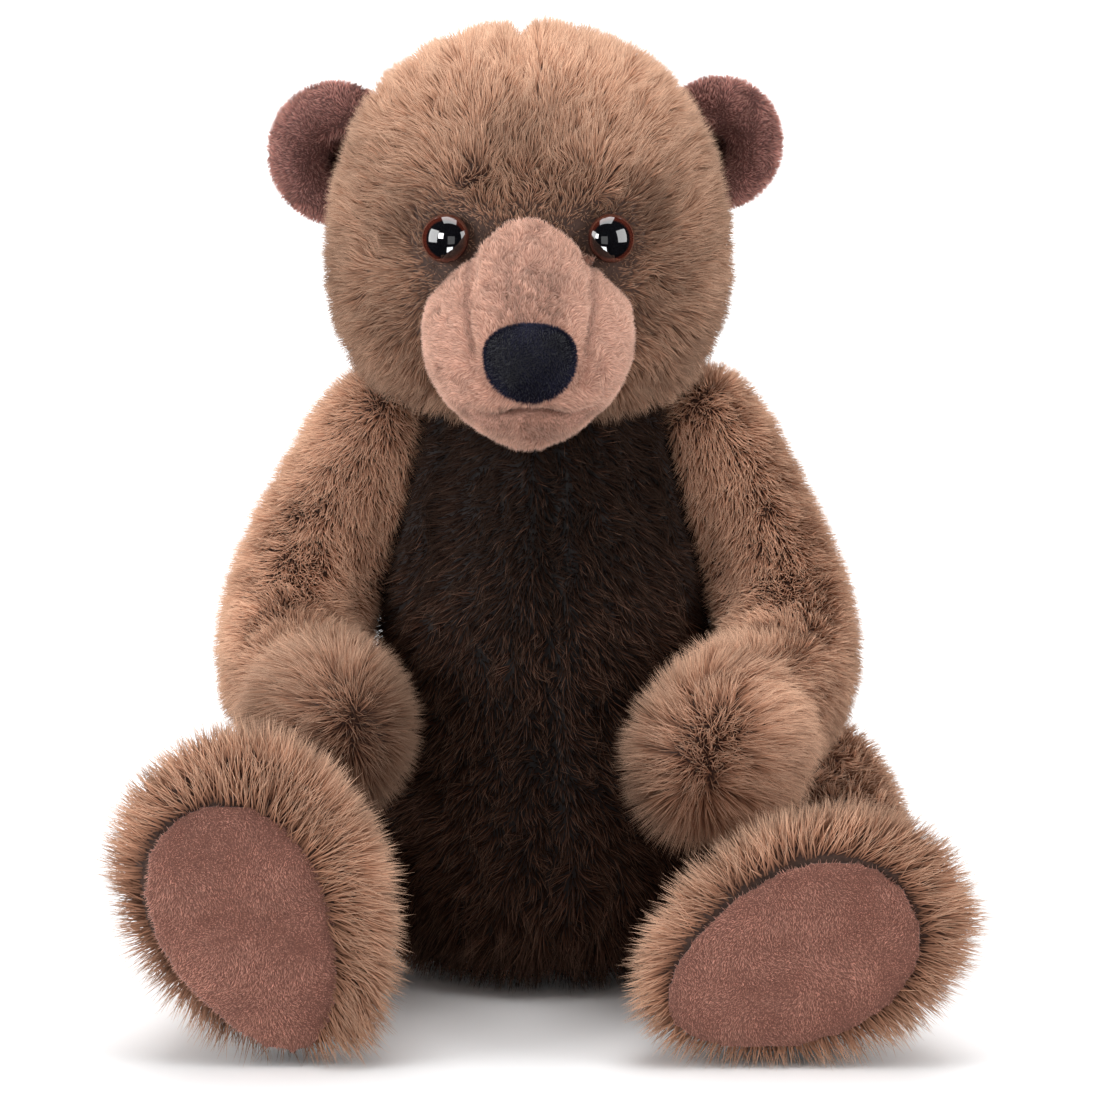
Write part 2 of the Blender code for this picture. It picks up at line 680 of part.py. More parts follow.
def build_foot_pad(name, side):
    """The short-pile sole: an egg-shaped sheet on the flat end of the foot."""
    sections = LEG_SECTIONS[name]
    centre, direction, out, up, sizes = limb_frames(sections, LEG_RINGS, side)[-1]
    shift_out, shift_up = FOOT_PAD_SHIFT[name]
    centre = centre + out * shift_out + up * shift_up + direction * MEETING_GAP
    outline = egg_outline(FOOT_PAD_SHORT, FOOT_PAD_LONG, math.radians(sizes[2]), FOOT_PAD_EGG)

    def rings_of(shape):
        return [add_ring(shape, centre, out, up, outline),
                add_ring(shape, centre + direction * FOOT_PAD_THICKNESS, out, up, outline)]
    add_piece(name + "_foot_pad", loft(rings_of), PAD)


def build_bear():
    joints = make_joints()
    for joint in joints.values():
        joint.build()
        joint.hole = joint.bolt_hole()
    build_torso(joints)
    build_head(joints["neck"])
    for name, side in SIDES.items():
        build_arm(name, side, joints[name + "_shoulder"])
        build_leg(name, side, joints[name + "_hip"])


clear_scene()
BEAR = make_collection("teddy_bear")
CUTTERS = make_collection("cutters")
FUR = make_material("long pile plush", FUR_BROWN, 0.95)
VELOUR = make_material("muzzle velour", VELOUR_TAN, 0.90)
PAD = make_material("sole velour", PAD_ROSE, 0.90)
EAR = make_material("ear velour", EAR_BROWN, 0.90)
NOSE = make_material("nose fleece", NOSE_BLACK, 0.85)
EYE = make_material("eye plastic", EYE_BLACK, 0.06)
PLASTIC = make_material("washer plastic", PLASTIC_WHITE, 0.45)
FIBRE = make_material("stuffing fibre", FIBRE_WHITE, 0.95)
BOARD = make_material("hardboard", BOARD_TAN, 0.80)
STEEL = make_material("zinc plated steel", STEEL_GREY, 0.35, 0.9)
BAG = make_material("bean bag cloth", BAG_CREAM, 0.90)
build_bear()
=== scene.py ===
"""Looks of the seated, jointed teddy bear: its plush coats, velour, eyes and light.

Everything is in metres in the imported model's frame. Each soft form starts from
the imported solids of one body, is drawn tight by a short cloth simulation, and
carries a pile of real strands that are seeded, combed and clumped in code.
"""

import logging
import math
from dataclasses import dataclass, field
from enum import Enum
from typing import Callable

import bmesh
import bpy
import numpy as np
from mathutils import Matrix, Vector


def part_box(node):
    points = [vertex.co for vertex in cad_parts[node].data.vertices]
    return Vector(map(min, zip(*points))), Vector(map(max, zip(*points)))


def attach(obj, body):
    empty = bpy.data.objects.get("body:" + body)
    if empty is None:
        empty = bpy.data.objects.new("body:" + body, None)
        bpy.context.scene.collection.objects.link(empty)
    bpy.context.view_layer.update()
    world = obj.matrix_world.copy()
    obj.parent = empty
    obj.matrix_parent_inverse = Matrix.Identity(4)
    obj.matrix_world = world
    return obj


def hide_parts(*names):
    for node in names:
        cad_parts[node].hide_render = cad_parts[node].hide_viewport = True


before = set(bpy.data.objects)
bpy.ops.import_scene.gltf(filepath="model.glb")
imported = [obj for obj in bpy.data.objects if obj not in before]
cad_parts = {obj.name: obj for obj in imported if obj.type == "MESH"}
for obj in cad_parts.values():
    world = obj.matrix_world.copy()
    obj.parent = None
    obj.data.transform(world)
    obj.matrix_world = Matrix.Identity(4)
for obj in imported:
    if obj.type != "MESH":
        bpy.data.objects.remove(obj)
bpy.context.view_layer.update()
LOG = logging.getLogger("teddy_bear")
UV_MAP = "OFBake"
WAVE_COUNT, WAVE_SCALE, SWIRL_SIZE = 7, 2.6, 0.0085

Colour = tuple[float, float, float]
Field = Callable[[np.ndarray, np.ndarray], np.ndarray]


class Side(Enum):
    """The bear's own sides, by the sign of X."""

    RIGHT = -1
    LEFT = 1

    @property
    def word(self) -> str:
        """The side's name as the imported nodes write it."""
        return self.name.lower()


# ------------------------------------------------------------------ number helpers
def unit(rows: np.ndarray) -> np.ndarray:
    """Scale each row vector to length one."""
    return rows / np.maximum(np.linalg.norm(rows, axis=1, keepdims=True), 1e-12)


def smoothstep(low: float, high: float, value: np.ndarray) -> np.ndarray:
    """Rise smoothly from 0 at low to 1 at high."""
    t = np.clip((value - low) / (high - low), 0.0, 1.0)
    return t * t * (3 - 2 * t)


def fall(low: float, high: float, value: np.ndarray) -> np.ndarray:
    """Fall smoothly from 1 at low to 0 at high."""
    return 1 - smoothstep(low, high, value)


def ridge(value: np.ndarray, middle: float, width: float) -> np.ndarray:
    """Rise softly to 1 where the value is at the middle."""
    return np.exp(-((value - middle) / width) ** 2)


def distance(points: np.ndarray, place: np.ndarray) -> np.ndarray:
    """Return how far each point is from a place."""
    return np.linalg.norm(points - np.array(place), axis=1)


def waves(points: np.ndarray, scale: float, seed: int) -> np.ndarray:
    """Smooth seeded variation over space.

    Args:
        points: The places, one row each.
        scale: The rough size of one patch, in metres.
        seed: Which pattern.

    Returns:
        One value a point, mostly between -1 and 1.
    """
    rng = np.random.default_rng(seed)
    total = np.zeros(len(points))
    for _ in range(WAVE_COUNT):
        direction = unit(rng.normal(size=(1, 3)))[0]
        pitch = 2 * math.pi / (scale * rng.uniform(0.7, 1.8))
        total += np.sin(points @ direction * pitch + rng.uniform(0, 2 * math.pi))
    return total / WAVE_SCALE


def swirls(points: np.ndarray, seed: int, strength: float = 0.55) -> np.ndarray:
    """Short-range turns of the pile, one vector a point."""
    rows = [waves(points, SWIRL_SIZE, seed * 10 + i) for i in range(3)]
    return np.stack(rows, axis=1) * strength


def tangent(rows: np.ndarray, normals: np.ndarray) -> np.ndarray:
    """Drop the part of each vector that runs along its normal."""
    return rows - normals * np.sum(rows * normals, axis=1, keepdims=True)


# ------------------------------------------------------------------ finishes
class Paint:
    """One material's node tree while it is being wired up."""

    def __init__(self, name: str, **shader: object) -> None:
        """Start a material and set its shader's sockets, named with underscores."""
        self.material = bpy.data.materials.new(name)
        self.material.use_nodes = True
        self.tree = self.material.node_tree
        self.shader = self.tree.nodes["Principled BSDF"]
        for socket, value in shader.items():
            self.shader.inputs[socket.replace("_", " ")].default_value = value

    def add(self, kind: str, **settings: object) -> bpy.types.Node:
        """Add a shader node of one kind with its settings."""
        node = self.tree.nodes.new(f"ShaderNode{kind}")
        for name, value in settings.items():
            setattr(node, name, value)
        return node

    def ramp(self, *stops: tuple[float, Colour]) -> bpy.types.Node:
        """Add a colour ramp of two or more stops, in order."""
        node = self.add("ValToRGB")
        elements = node.color_ramp.elements
        for element, (at, colour) in zip(elements, (stops[0], stops[-1])):
            element.position, element.color = at, (*colour, 1)
        for at, colour in stops[1:-1]:
            elements.new(at).color = (*colour, 1)
        return node

    def link(self, node: bpy.types.Node, out: str, target: bpy.types.Node,
             socket: str | int) -> None:
        """Join one node's output to another's input."""
        self.tree.links.new(node.outputs[out], target.inputs[socket])


@dataclass(frozen=True)
class StrandFinish:
    """Pile strands: colour runs from root to tip and varies from strand to strand."""

    name: str
    root: Colour
    middle: Colour
    tip: Colour
    dark: float = 0.55
    light: float = 1.35
    roughness: float = 0.62
    sheen: float = 0.25
    middle_at: float = 0.45
    specular: float = 0.08

    def material(self) -> bpy.types.Material:
        """Build the material, which reads only the strand's own UV map.

        Returns:
            The finished material.
        """
        paint = Paint(self.name, Roughness=self.roughness, Specular_IOR_Level=self.specular,
                      Sheen_Weight=self.sheen, Sheen_Roughness=0.45,
                      Sheen_Tint=(*self.tip, 1))
        coords = paint.add("UVMap", uv_map=UV_MAP)
        split = paint.add("SeparateXYZ")
        along = paint.ramp((0.0, self.root), (self.middle_at, self.middle), (1.0, self.tip))
        tone = paint.add("MapRange")
        tone.inputs["To Min"].default_value = self.dark
        tone.inputs["To Max"].default_value = self.light
        shade = paint.add("VectorMath", operation="SCALE")
        paint.link(coords, "UV", split, "Vector")
        paint.link(split, "Y", along, "Fac")
        paint.link(split, "X", tone, "Value")
        paint.link(along, "Color", shade, 0)
        paint.link(tone, "Result", shade, "Scale")
        paint.link(shade, "Vector", paint.shader, "Base Color")
        return paint.material


@dataclass(frozen=True)
class ClothFinish:
    """Backing cloth or short nap: mottled colour with a fine bump."""

    name: str
    colour: Colour
    other: Colour
    grain: float = 900.0
    roughness: float = 0.85
    metallic: float = 0.0
    sheen: float = 0.3
    bump: float = 0.15

    def material(self) -> bpy.types.Material:
        """Build the material on Object coordinates.

        Returns:
            The finished material.
        """
        paint = Paint(self.name, Roughness=self.roughness, Metallic=self.metallic,
                      Sheen_Weight=self.sheen)
        coords = paint.add("TexCoord")
        noise = paint.add("TexNoise")
        noise.inputs["Scale"].default_value = self.grain
        noise.inputs["Detail"].default_value = 3
        ramp = paint.ramp((0.35, self.other), (0.65, self.colour))
        bump = paint.add("Bump")
        bump.inputs["Strength"].default_value = self.bump
        bump.inputs["Distance"].default_value = 0.0003
        paint.link(coords, "Object", noise, "Vector")
        paint.link(noise, "Fac", ramp, "Fac")
        paint.link(ramp, "Color", paint.shader, "Base Color")
        paint.link(noise, "Fac", bump, "Height")
        paint.link(bump, "Normal", paint.shader, "Normal")
        return paint.material


@dataclass(frozen=True)
class EyeFinish:
    """A polished eye: a black pupil inside a narrow dark brown ring."""

    name: str
    centre: Vector
    radius: float
    pupil: Colour = (0.004, 0.004, 0.005)
    ring: Colour = (0.060, 0.013, 0.008)
    pupil_share: float = 0.78

    def material(self) -> bpy.types.Material:
        """Build the material from the distance to the eye's centre.

        Returns:
            The finished material.
        """
        paint = Paint(self.name, Roughness=0.04, Coat_Weight=1.0, Coat_Roughness=0.02)
        coords = paint.add("TexCoord")
        shift = paint.add("VectorMath", operation="SUBTRACT")
        shift.inputs[1].default_value = self.centre
        flat = paint.add("VectorMath", operation="MULTIPLY")
        flat.inputs[1].default_value = (1, 0, 1)
        reach = paint.add("VectorMath", operation="LENGTH")
        scale = paint.add("Math", operation="DIVIDE")
        scale.inputs[1].default_value = self.radius
        ramp = paint.ramp((self.pupil_share - 0.05, self.pupil),
                          (self.pupil_share + 0.02, self.ring))
        paint.link(coords, "Object", shift, 0)
        paint.link(shift, "Vector", flat, 0)
        paint.link(flat, "Vector", reach, 0)
        paint.link(reach, "Value", scale, 0)
        paint.link(scale, "Value", ramp, "Fac")
        paint.link(ramp, "Color", paint.shader, "Base Color")
        return paint.material


Finish = StrandFinish | ClothFinish | EyeFinish

FUR = StrandFinish("brown_fur", root=(0.120, 0.054, 0.033), middle=(0.350, 0.172, 0.105),
                   tip=(0.660, 0.425, 0.295), dark=0.35, light=1.60, sheen=0.10)
# The torso's pile: its low dark end lets the front go near black, partly as a darker plush and
# partly as painted shade.
TORSO_FUR = StrandFinish("torso_fur", root=(0.120, 0.054, 0.036), middle=(0.350, 0.168, 0.110),
                         tip=(0.660, 0.415, 0.300), dark=0.03, light=1.60, sheen=0.0,
                         specular=0.02)
MUZZLE_NAP = StrandFinish("muzzle_nap", root=(0.190, 0.075, 0.050), middle=(0.500, 0.270, 0.195),
                          tip=(0.780, 0.500, 0.395), dark=0.45, light=1.30)
SOLE_NAP = StrandFinish("sole_nap", root=(0.150, 0.052, 0.038), middle=(0.450, 0.212, 0.160),
                        tip=(0.720, 0.415, 0.320), dark=0.50, light=1.70)
EAR_NAP = StrandFinish("ear_nap", root=(0.070, 0.022, 0.019), middle=(0.270, 0.112, 0.094),
                       tip=(0.600, 0.330, 0.270), dark=0.16, light=1.70)
NOSE_NAP = StrandFinish("nose_nap", root=(0.001, 0.001, 0.002), middle=(0.005, 0.005, 0.011),
                        tip=(0.030, 0.030, 0.056), dark=0.20, light=1.80, sheen=0.02,
                        specular=0.03)
BACKING = ClothFinish("fur_backing", (0.075, 0.034, 0.021), (0.045, 0.020, 0.012), sheen=0.0)
DARK_BACKING = ClothFinish("dark_backing", (0.010, 0.004, 0.003), (0.006, 0.002, 0.002),
                           sheen=0.0)
MUZZLE_CLOTH = ClothFinish("muzzle_cloth", (0.420, 0.210, 0.150), (0.340, 0.160, 0.110))
SOLE_CLOTH = ClothFinish("sole_cloth", (0.240, 0.100, 0.070), (0.180, 0.070, 0.048))
EAR_CLOTH = ClothFinish("ear_cloth", (0.130, 0.046, 0.038), (0.090, 0.030, 0.025))
NOSE_CLOTH = ClothFinish("nose_cloth", (0.012, 0.012, 0.020), (0.006, 0.006, 0.010))
BOARD = ClothFinish("hardboard", (0.330, 0.200, 0.110), (0.250, 0.150, 0.080), 500.0)
STEEL = ClothFinish("zinc_steel", (0.520, 0.530, 0.550), (0.420, 0.430, 0.450), 300.0,
                    roughness=0.35, metallic=0.9, sheen=0.0, bump=0.03)
PLASTIC = ClothFinish("washer_plastic", (0.750, 0.750, 0.720), (0.700, 0.700, 0.670), 200.0,
                      roughness=0.45, sheen=0.0, bump=0.02)
BEANS = ClothFinish("bag_cloth", (0.620, 0.580, 0.500), (0.540, 0.500, 0.430), 700.0)


# ------------------------------------------------------------------ mesh helpers
def placed(name: str, data: bpy.types.ID) -> bpy.types.Object:
    """Put new data into the scene as an object at the origin."""
    piece = bpy.data.objects.new(name, data)
    bpy.context.scene.collection.objects.link(piece)
    return piece


def spun(profile: list[Vector], steps: int) -> bmesh.types.BMesh:
    """Spin a profile about Z into a closed solid.

    Args:
        profile: The profile's points, which start and end on the axis.
        steps: How many steps make one turn.

    Returns:
        The closed bmesh.
    """
    shape = bmesh.new()
    verts = [shape.verts.new(place) for place in profile]
    edges = [shape.edges.new(pair) for pair in zip(verts, verts[1:])]
    bmesh.ops.spin(shape, geom=verts + edges, cent=(0, 0, 0), axis=(0, 0, 1),
                   angle=2 * math.pi, steps=steps, use_merge=True)
    bmesh.ops.remove_doubles(shape, verts=shape.verts, dist=1e-6)
    bmesh.ops.recalc_face_normals(shape, faces=shape.faces)
    return shape


def add_piece(name: str, shape: bmesh.types.BMesh, finish: Finish) -> bpy.types.Object:
    """Turn a bmesh into a smooth-shaded piece at the origin.

    Args:
        name: The piece's name.
        shape: The bmesh, which is freed.
        finish: A finish with a material method.

    Returns:
        The new object.
    """
    mesh = bpy.data.meshes.new(name)
    shape.to_mesh(mesh)
    shape.free()
    mesh.shade_smooth()
    mesh.materials.append(dress(finish))
    return placed(name, mesh)


MADE: dict[str, bpy.types.Material] = {}


def dress(finish: Finish) -> bpy.types.Material:
    """Return the finish's material, building it once."""
    if finish.name not in MADE:
        MADE[finish.name] = finish.material()
    return MADE[finish.name]


def redress(piece: bpy.types.Object, finish: Finish) -> None:
    """Give a piece one finish in place of what it wears."""
    piece.data.materials.clear()
    piece.data.materials.append(dress(finish))


def read_points(mesh: bpy.types.Mesh) -> np.ndarray:
    """Read a mesh's points as rows."""
    flat = np.empty(len(mesh.vertices) * 3, np.float32)
    mesh.vertices.foreach_get("co", flat)
    return flat.reshape(-1, 3).astype(np.float64)


def read_normals(mesh: bpy.types.Mesh) -> np.ndarray:
    """Read a mesh's point normals as rows."""
    flat = np.empty(len(mesh.vertices) * 3, np.float32)
    mesh.vertex_normals.foreach_get("vector", flat)
    return flat.reshape(-1, 3).astype(np.float64)


def write_points(mesh: bpy.types.Mesh, points: np.ndarray) -> None:
    """Move a mesh's points to the given rows."""
    mesh.vertices.foreach_set("co", points.astype(np.float32).ravel())
    mesh.update()


def applied(piece: bpy.types.Object) -> None:
    """Bake a piece's modifiers into its mesh."""
    graph = bpy.context.evaluated_depsgraph_get()
    mesh = bpy.data.meshes.new_from_object(piece.evaluated_get(graph))
    old = piece.data
    piece.modifiers.clear()
    piece.data = mesh
    bpy.data.meshes.remove(old)
    mesh.name = piece.name


def biggest_island(shape: bmesh.types.BMesh) -> None:
    """Delete everything but the island with the most points."""
    unseen = set(shape.verts)
    best: list = []
    while unseen:
        start = unseen.pop()
        island, stack = [start], [start]
        while stack:
            for edge in stack.pop().link_edges:
                for vertex in edge.verts:
                    if vertex in unseen:
                        unseen.discard(vertex)
                        island.append(vertex)
                        stack.append(vertex)
        if len(island) > len(best):
            best = island
    keep = set(best)
    bmesh.ops.delete(shape, geom=[v for v in shape.verts if v not in keep], context="VERTS")


def solid_form(name: str, nodes: list[str], voxel: float,
               rounds: int = 3) -> bpy.types.Object:
    """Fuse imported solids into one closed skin.

    Args:
        name: The new piece's name.
        nodes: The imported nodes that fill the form.
        voxel: The remesh size in metres.
        rounds: How often the skin is smoothed.

    Returns:
        A closed piece whose surface is the solids' outer surface.
    """
    shape = bmesh.new()
    for node in nodes:
        shape.from_mesh(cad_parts[node].data)
    bmesh.ops.remove_doubles(shape, verts=shape.verts, dist=1e-6)
    piece = add_piece(name, shape, BACKING)
    remesh = piece.modifiers.new("voxels", "REMESH")
    remesh.mode = "VOXEL"
    remesh.voxel_size = voxel
    applied(piece)
    shape = bmesh.new()
    shape.from_mesh(piece.data)
    biggest_island(shape)
    for _ in range(rounds):
        bmesh.ops.smooth_vert(shape, verts=shape.verts, factor=0.5, use_axis_x=True,
                              use_axis_y=True, use_axis_z=True)
    shape.to_mesh(piece.data)
    shape.free()
    return piece


CLOTH_PRESSURE, CLOTH_QUALITY, CLOTH_MASS, CLOTH_STIFFNESS = 4.0, 5, 0.2, 40


def inflate(piece: bpy.types.Object, cap: float, frames: int = 12) -> None:
    """Draw a form tight with a short pressurised cloth simulation.

    Args:
        piece: The form, whose mesh is changed.
        cap: The furthest that a point may move, in metres.
        frames: How many frames the cloth runs.
    """
    before = read_points(piece.data)
    cloth = piece.modifiers.new("stuffed", "CLOTH")
    settings = cloth.settings
    settings.use_pressure = True
    settings.uniform_pressure_force = CLOTH_PRESSURE
    settings.quality = CLOTH_QUALITY
    settings.mass = CLOTH_MASS
    settings.tension_stiffness = settings.compression_stiffness = CLOTH_STIFFNESS
    settings.effector_weights.gravity = 0.0
    scene = bpy.context.scene
    scene.frame_start, scene.frame_end = 1, frames
    cloth.point_cache.frame_start, cloth.point_cache.frame_end = 1, frames
    for number in range(1, frames + 1):
        scene.frame_set(number)
    applied(piece)
    scene.frame_set(1)
    after = read_points(piece.data)
    move = after - before
    reach = np.linalg.norm(move, axis=1, keepdims=True)
    move *= np.minimum(1.0, cap / np.maximum(reach, 1e-9))
    write_points(piece.data, before + move)


def refine(piece: bpy.types.Object) -> None:
    """Subdivide a form once and bake the result."""
    finer = piece.modifiers.new("finer", "SUBSURF")
    finer.levels = finer.render_levels = 1
    applied(piece)
    piece.data.shade_smooth()


# ------------------------------------------------------------------ the pile
TIP_HEIGHT, FOOT_HEIGHT, STRAND_HEIGHT = 0.0004, 0.0003, 0.0002
ROOT_SINK, LEAST_RISE = 0.0004, 0.12
TONE_LOW, TONE_HIGH, TONE_SPREAD = 0.02, 0.98, 0.012
ROOT_V, TIP_V = 0.02, 0.98
SORT_AXIS = np.array([0.31, 1.0, 0.57])
TUFT_BEND, TUFT_BEND_SIZE = 0.0012, 0.012
CELL_PRIMES, SPOT_FACTORS, SPOT_STEPS = (73856093, 19349663, 83492791), (31, 57, 97), 1009
SKIN_HEIGHT, NAP_HEIGHT = 0.0012, 0.0010


@dataclass
class Coat:
    """One pile of strands over a form.

    The fields that are functions take the roots and their normals, and give one
    row or one value for each root.
    """

    name: str
    finish: StrandFinish
    body: str
    density: float
    length: float
    width: float
    lift: float
    flow: Field
    shape: Field
    tone: Field
    seed: int
    clump: float = 0.0045
    clumping: float = 0.45
    stray: float = 0.20
    slot: str = "plush"
    cover: Field | None = None
    grain: float = 0.13
    limit: int = 48000

    def grow(self, form: bpy.types.Object) -> list[bpy.types.Object]:
        """Grow the strands on a form, in pieces of at most the limit.

        Args:
            form: The closed skin that the roots stand on.

        Returns:
            The new pieces.
        """
        rng = np.random.default_rng(self.seed)
        roots, normals = self.scatter(form.data, rng)
        share = self.shape(roots, normals)
        wanted = np.clip(share * 3.0, 0, 1)
        if self.cover:
            wanted = wanted * self.cover(roots, normals)
        keep = rng.random(len(roots)) < wanted
        roots, normals, share = roots[keep], normals[keep], share[keep]
        count = len(roots)
        comb = tangent(self.flow(roots, normals), normals)
        strong = np.clip(np.linalg.norm(comb, axis=1, keepdims=True), 0, 1)
        jitter = rng.normal(size=(count, 3)) * self.stray
        lift = self.lift * (1 + 0.25 * waves(roots, 0.009, self.seed)[:, None])
        lean = unit(normals * lift + unit(comb) * strong * (1 - self.lift) + jitter * 0.5)
        reach = self.length * share * rng.uniform(0.72, 1.10, count)
        tips = roots + lean * reach[:, None]
        tips = self.gather(roots, tips, reach, rng)
        low = np.sum((tips - roots) * normals, axis=1)
        tips += normals * np.maximum(0, LEAST_RISE * reach - low)[:, None]
        tips[:, 2] = np.maximum(tips[:, 2], TIP_HEIGHT)
        tone = self.tone(roots, normals) + rng.normal(size=count) * self.grain
        tone = np.clip(tone, TONE_LOW, TONE_HIGH)
        order = np.argsort(roots @ SORT_AXIS, kind="stable")
        parts = max(1, math.ceil(count / self.limit))
        made = []
        for number, chosen in enumerate(np.array_split(order, parts)):
            name = self.name if parts == 1 else f"{self.name}_{number + 1}"
            made.append(self.plant(name, roots[chosen], tips[chosen], normals[chosen],
                                   tone[chosen]))
        LOG.info("%s: %d strands in %d pieces", self.name, count, parts)
        return made

    def scatter(self, mesh: bpy.types.Mesh, rng: np.random.Generator) -> tuple:
        """Place roots evenly over a mesh.

        Args:
            mesh: The form's mesh.
            rng: The seeded generator.

        Returns:
            The roots and their smooth normals.
        """
        mesh.calc_loop_triangles()
        corners = np.empty(len(mesh.loop_triangles) * 3, np.int32)
        mesh.loop_triangles.foreach_get("vertices", corners)
        corners = corners.reshape(-1, 3)
        points, slopes = read_points(mesh), read_normals(mesh)
        a, b, c = (points[corners[:, i]] for i in range(3))
        areas = np.linalg.norm(np.cross(b - a, c - a), axis=1) / 2
        count = int(areas.sum() * self.density)
        total = np.cumsum(areas) / areas.sum()
        picks = np.searchsorted(total, (np.arange(count) + rng.random(count)) / count)
        picks = np.minimum(picks, len(corners) - 1)
        u, v = rng.random((2, count))
        flip = u + v > 1
        u[flip], v[flip] = 1 - u[flip], 1 - v[flip]
        weights = np.stack([1 - u - v, u, v], axis=1)[:, :, None]
        chosen = corners[picks]
        roots = (points[chosen] * weights).sum(axis=1)
        normals = unit((slopes[chosen] * weights).sum(axis=1))
        return roots, normals

    def gather(self, roots: np.ndarray, tips: np.ndarray, reach: np.ndarray,
               rng: np.random.Generator) -> np.ndarray:
        """Pull tips together into small tufts.

        Args:
            roots: The strands' roots.
            tips: The strands' tips.
            reach: The strands' lengths.
            rng: The seeded generator.

        Returns:
            The gathered tips.
        """
        bend = np.stack([waves(roots, TUFT_BEND_SIZE, self.seed + i) for i in range(3)], axis=1)
        cells = (roots + bend * TUFT_BEND) / self.clump
        home = np.floor(cells).astype(np.int64)
        best = np.full(len(roots), 9.0)
        nearest = np.zeros_like(roots)
        for offset in np.ndindex(3, 3, 3):
            cell = home + np.array(offset) - 1
            mixed = (cell * np.array(CELL_PRIMES)).sum(axis=1)
            mixed = mixed ^ (mixed >> 13)
            spots = [((mixed * factor) % SPOT_STEPS) / float(SPOT_STEPS)
                     for factor in SPOT_FACTORS]
            spots = np.stack(spots, axis=1)
            gap = np.linalg.norm(cell + spots - cells, axis=1)
            closer = gap < best
            best[closer] = gap[closer]
            nearest[closer] = (cell + spots)[closer]
        centre = nearest * self.clump - bend * TUFT_BEND
        pull = tips - roots
        target = centre + pull
        weight = self.clumping * rng.uniform(0.5, 1.0, len(roots))[:, None]
        mixed_tips = tips * (1 - weight) + target * weight
        return roots + unit(mixed_tips - roots) * reach[:, None]

    def plant(self, name: str, roots: np.ndarray, tips: np.ndarray, normals: np.ndarray,
              tone: np.ndarray) -> bpy.types.Object:
        """Make one mesh of tapering three-sided strands.

        Args:
            name: The piece's name.
            roots: The strands' roots.
            tips: The strands' tips.
            normals: The skin's normals at the roots.
            tone: Each strand's tone from 0 to 1.

        Returns:
            The piece, dressed and riding on its body.
        """
        count = len(roots)
        axis = unit(tips - roots)
        across = unit(np.cross(axis, normals + 1e-4))
        other = np.cross(axis, across)
        foot = roots - axis * ROOT_SINK
        foot[:, 2] = np.maximum(foot[:, 2], FOOT_HEIGHT)
        points = np.empty((count, 4, 3))
        for corner in range(3):
            angle = 2 * math.pi * corner / 3
            offset = across * math.cos(angle) + other * math.sin(angle)
            points[:, corner] = foot + offset * self.width / 2
        points[:, 3] = tips
        points[:, :, 2] = np.maximum(points[:, :, 2], STRAND_HEIGHT)
        faces = np.array([[0, 1, 3], [1, 2, 3], [2, 0, 3], [0, 2, 1]])
        corners = (np.arange(count)[:, None, None] * 4 + faces).reshape(-1)
        mesh = bpy.data.meshes.new(name)
        mesh.vertices.add(count * 4)
        mesh.loops.add(count * 12)
        mesh.polygons.add(count * 4)
        mesh.vertices.foreach_set("co", points.astype(np.float32).ravel())
        mesh.loops.foreach_set("vertex_index", corners.astype(np.int32))
        mesh.polygons.foreach_set("loop_start", np.arange(count * 4, dtype=np.int32) * 3)
        mesh.update(calc_edges=True)
        layer = mesh.uv_layers.new(name=UV_MAP)
        heights = np.where(faces.ravel() == 3, TIP_V, ROOT_V)
        spread = np.tile([-TONE_SPREAD, TONE_SPREAD, 0.0], 4)
        maps = np.empty((count, 12, 2), np.float32)
        maps[:, :, 0] = tone[:, None] + spread[None, :]
        maps[:, :, 1] = heights[None, :]
        maps[:, 11, 1] += ROOT_V
        layer.data.foreach_set("uv", maps.ravel())
        mesh.shade_smooth()
        soft = np.empty((count, 4, 3))
        soft[:, :3] = points[:, :3] - foot[:, None]
        soft[:, :3] = soft[:, :3] / (self.width / 2) * 0.45 + normals[:, None]
        soft[:, 3] = normals * 0.8 + axis * 0.4
        soft /= np.linalg.norm(soft, axis=2, keepdims=True)
        mesh.normals_split_custom_set_from_vertices(soft.reshape(-1, 3).astype(np.float32))
        mesh.materials.append(dress(self.finish))
        piece = placed(name, mesh)
        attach(piece, self.body)
        return piece


# ------------------------------------------------------------------ the bear's forms
HEAD_X = -0.005
NOSE_X = -0.0043
SEAM_X = 0.002
PARTING_X = -0.0072
FACE = np.array([HEAD_X, -0.078, 0.222])
HEAD_MIDDLE = np.array([HEAD_X, -0.003, 0.235])
HEAD_CORE = np.array([0.056, 0.050, 0.056])
JOINT_INSET = 0.0018
NECK = "neck"


def middle_of(node: str) -> np.ndarray:
    """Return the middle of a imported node's box."""
    low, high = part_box(node)
    return np.array((low + high) / 2)


def bump(points: np.ndarray, centre: tuple, radius: float) -> np.ndarray:
    """A soft round bump of height 1 at the centre."""
    return ridge(distance(points, centre), 0.0, radius)


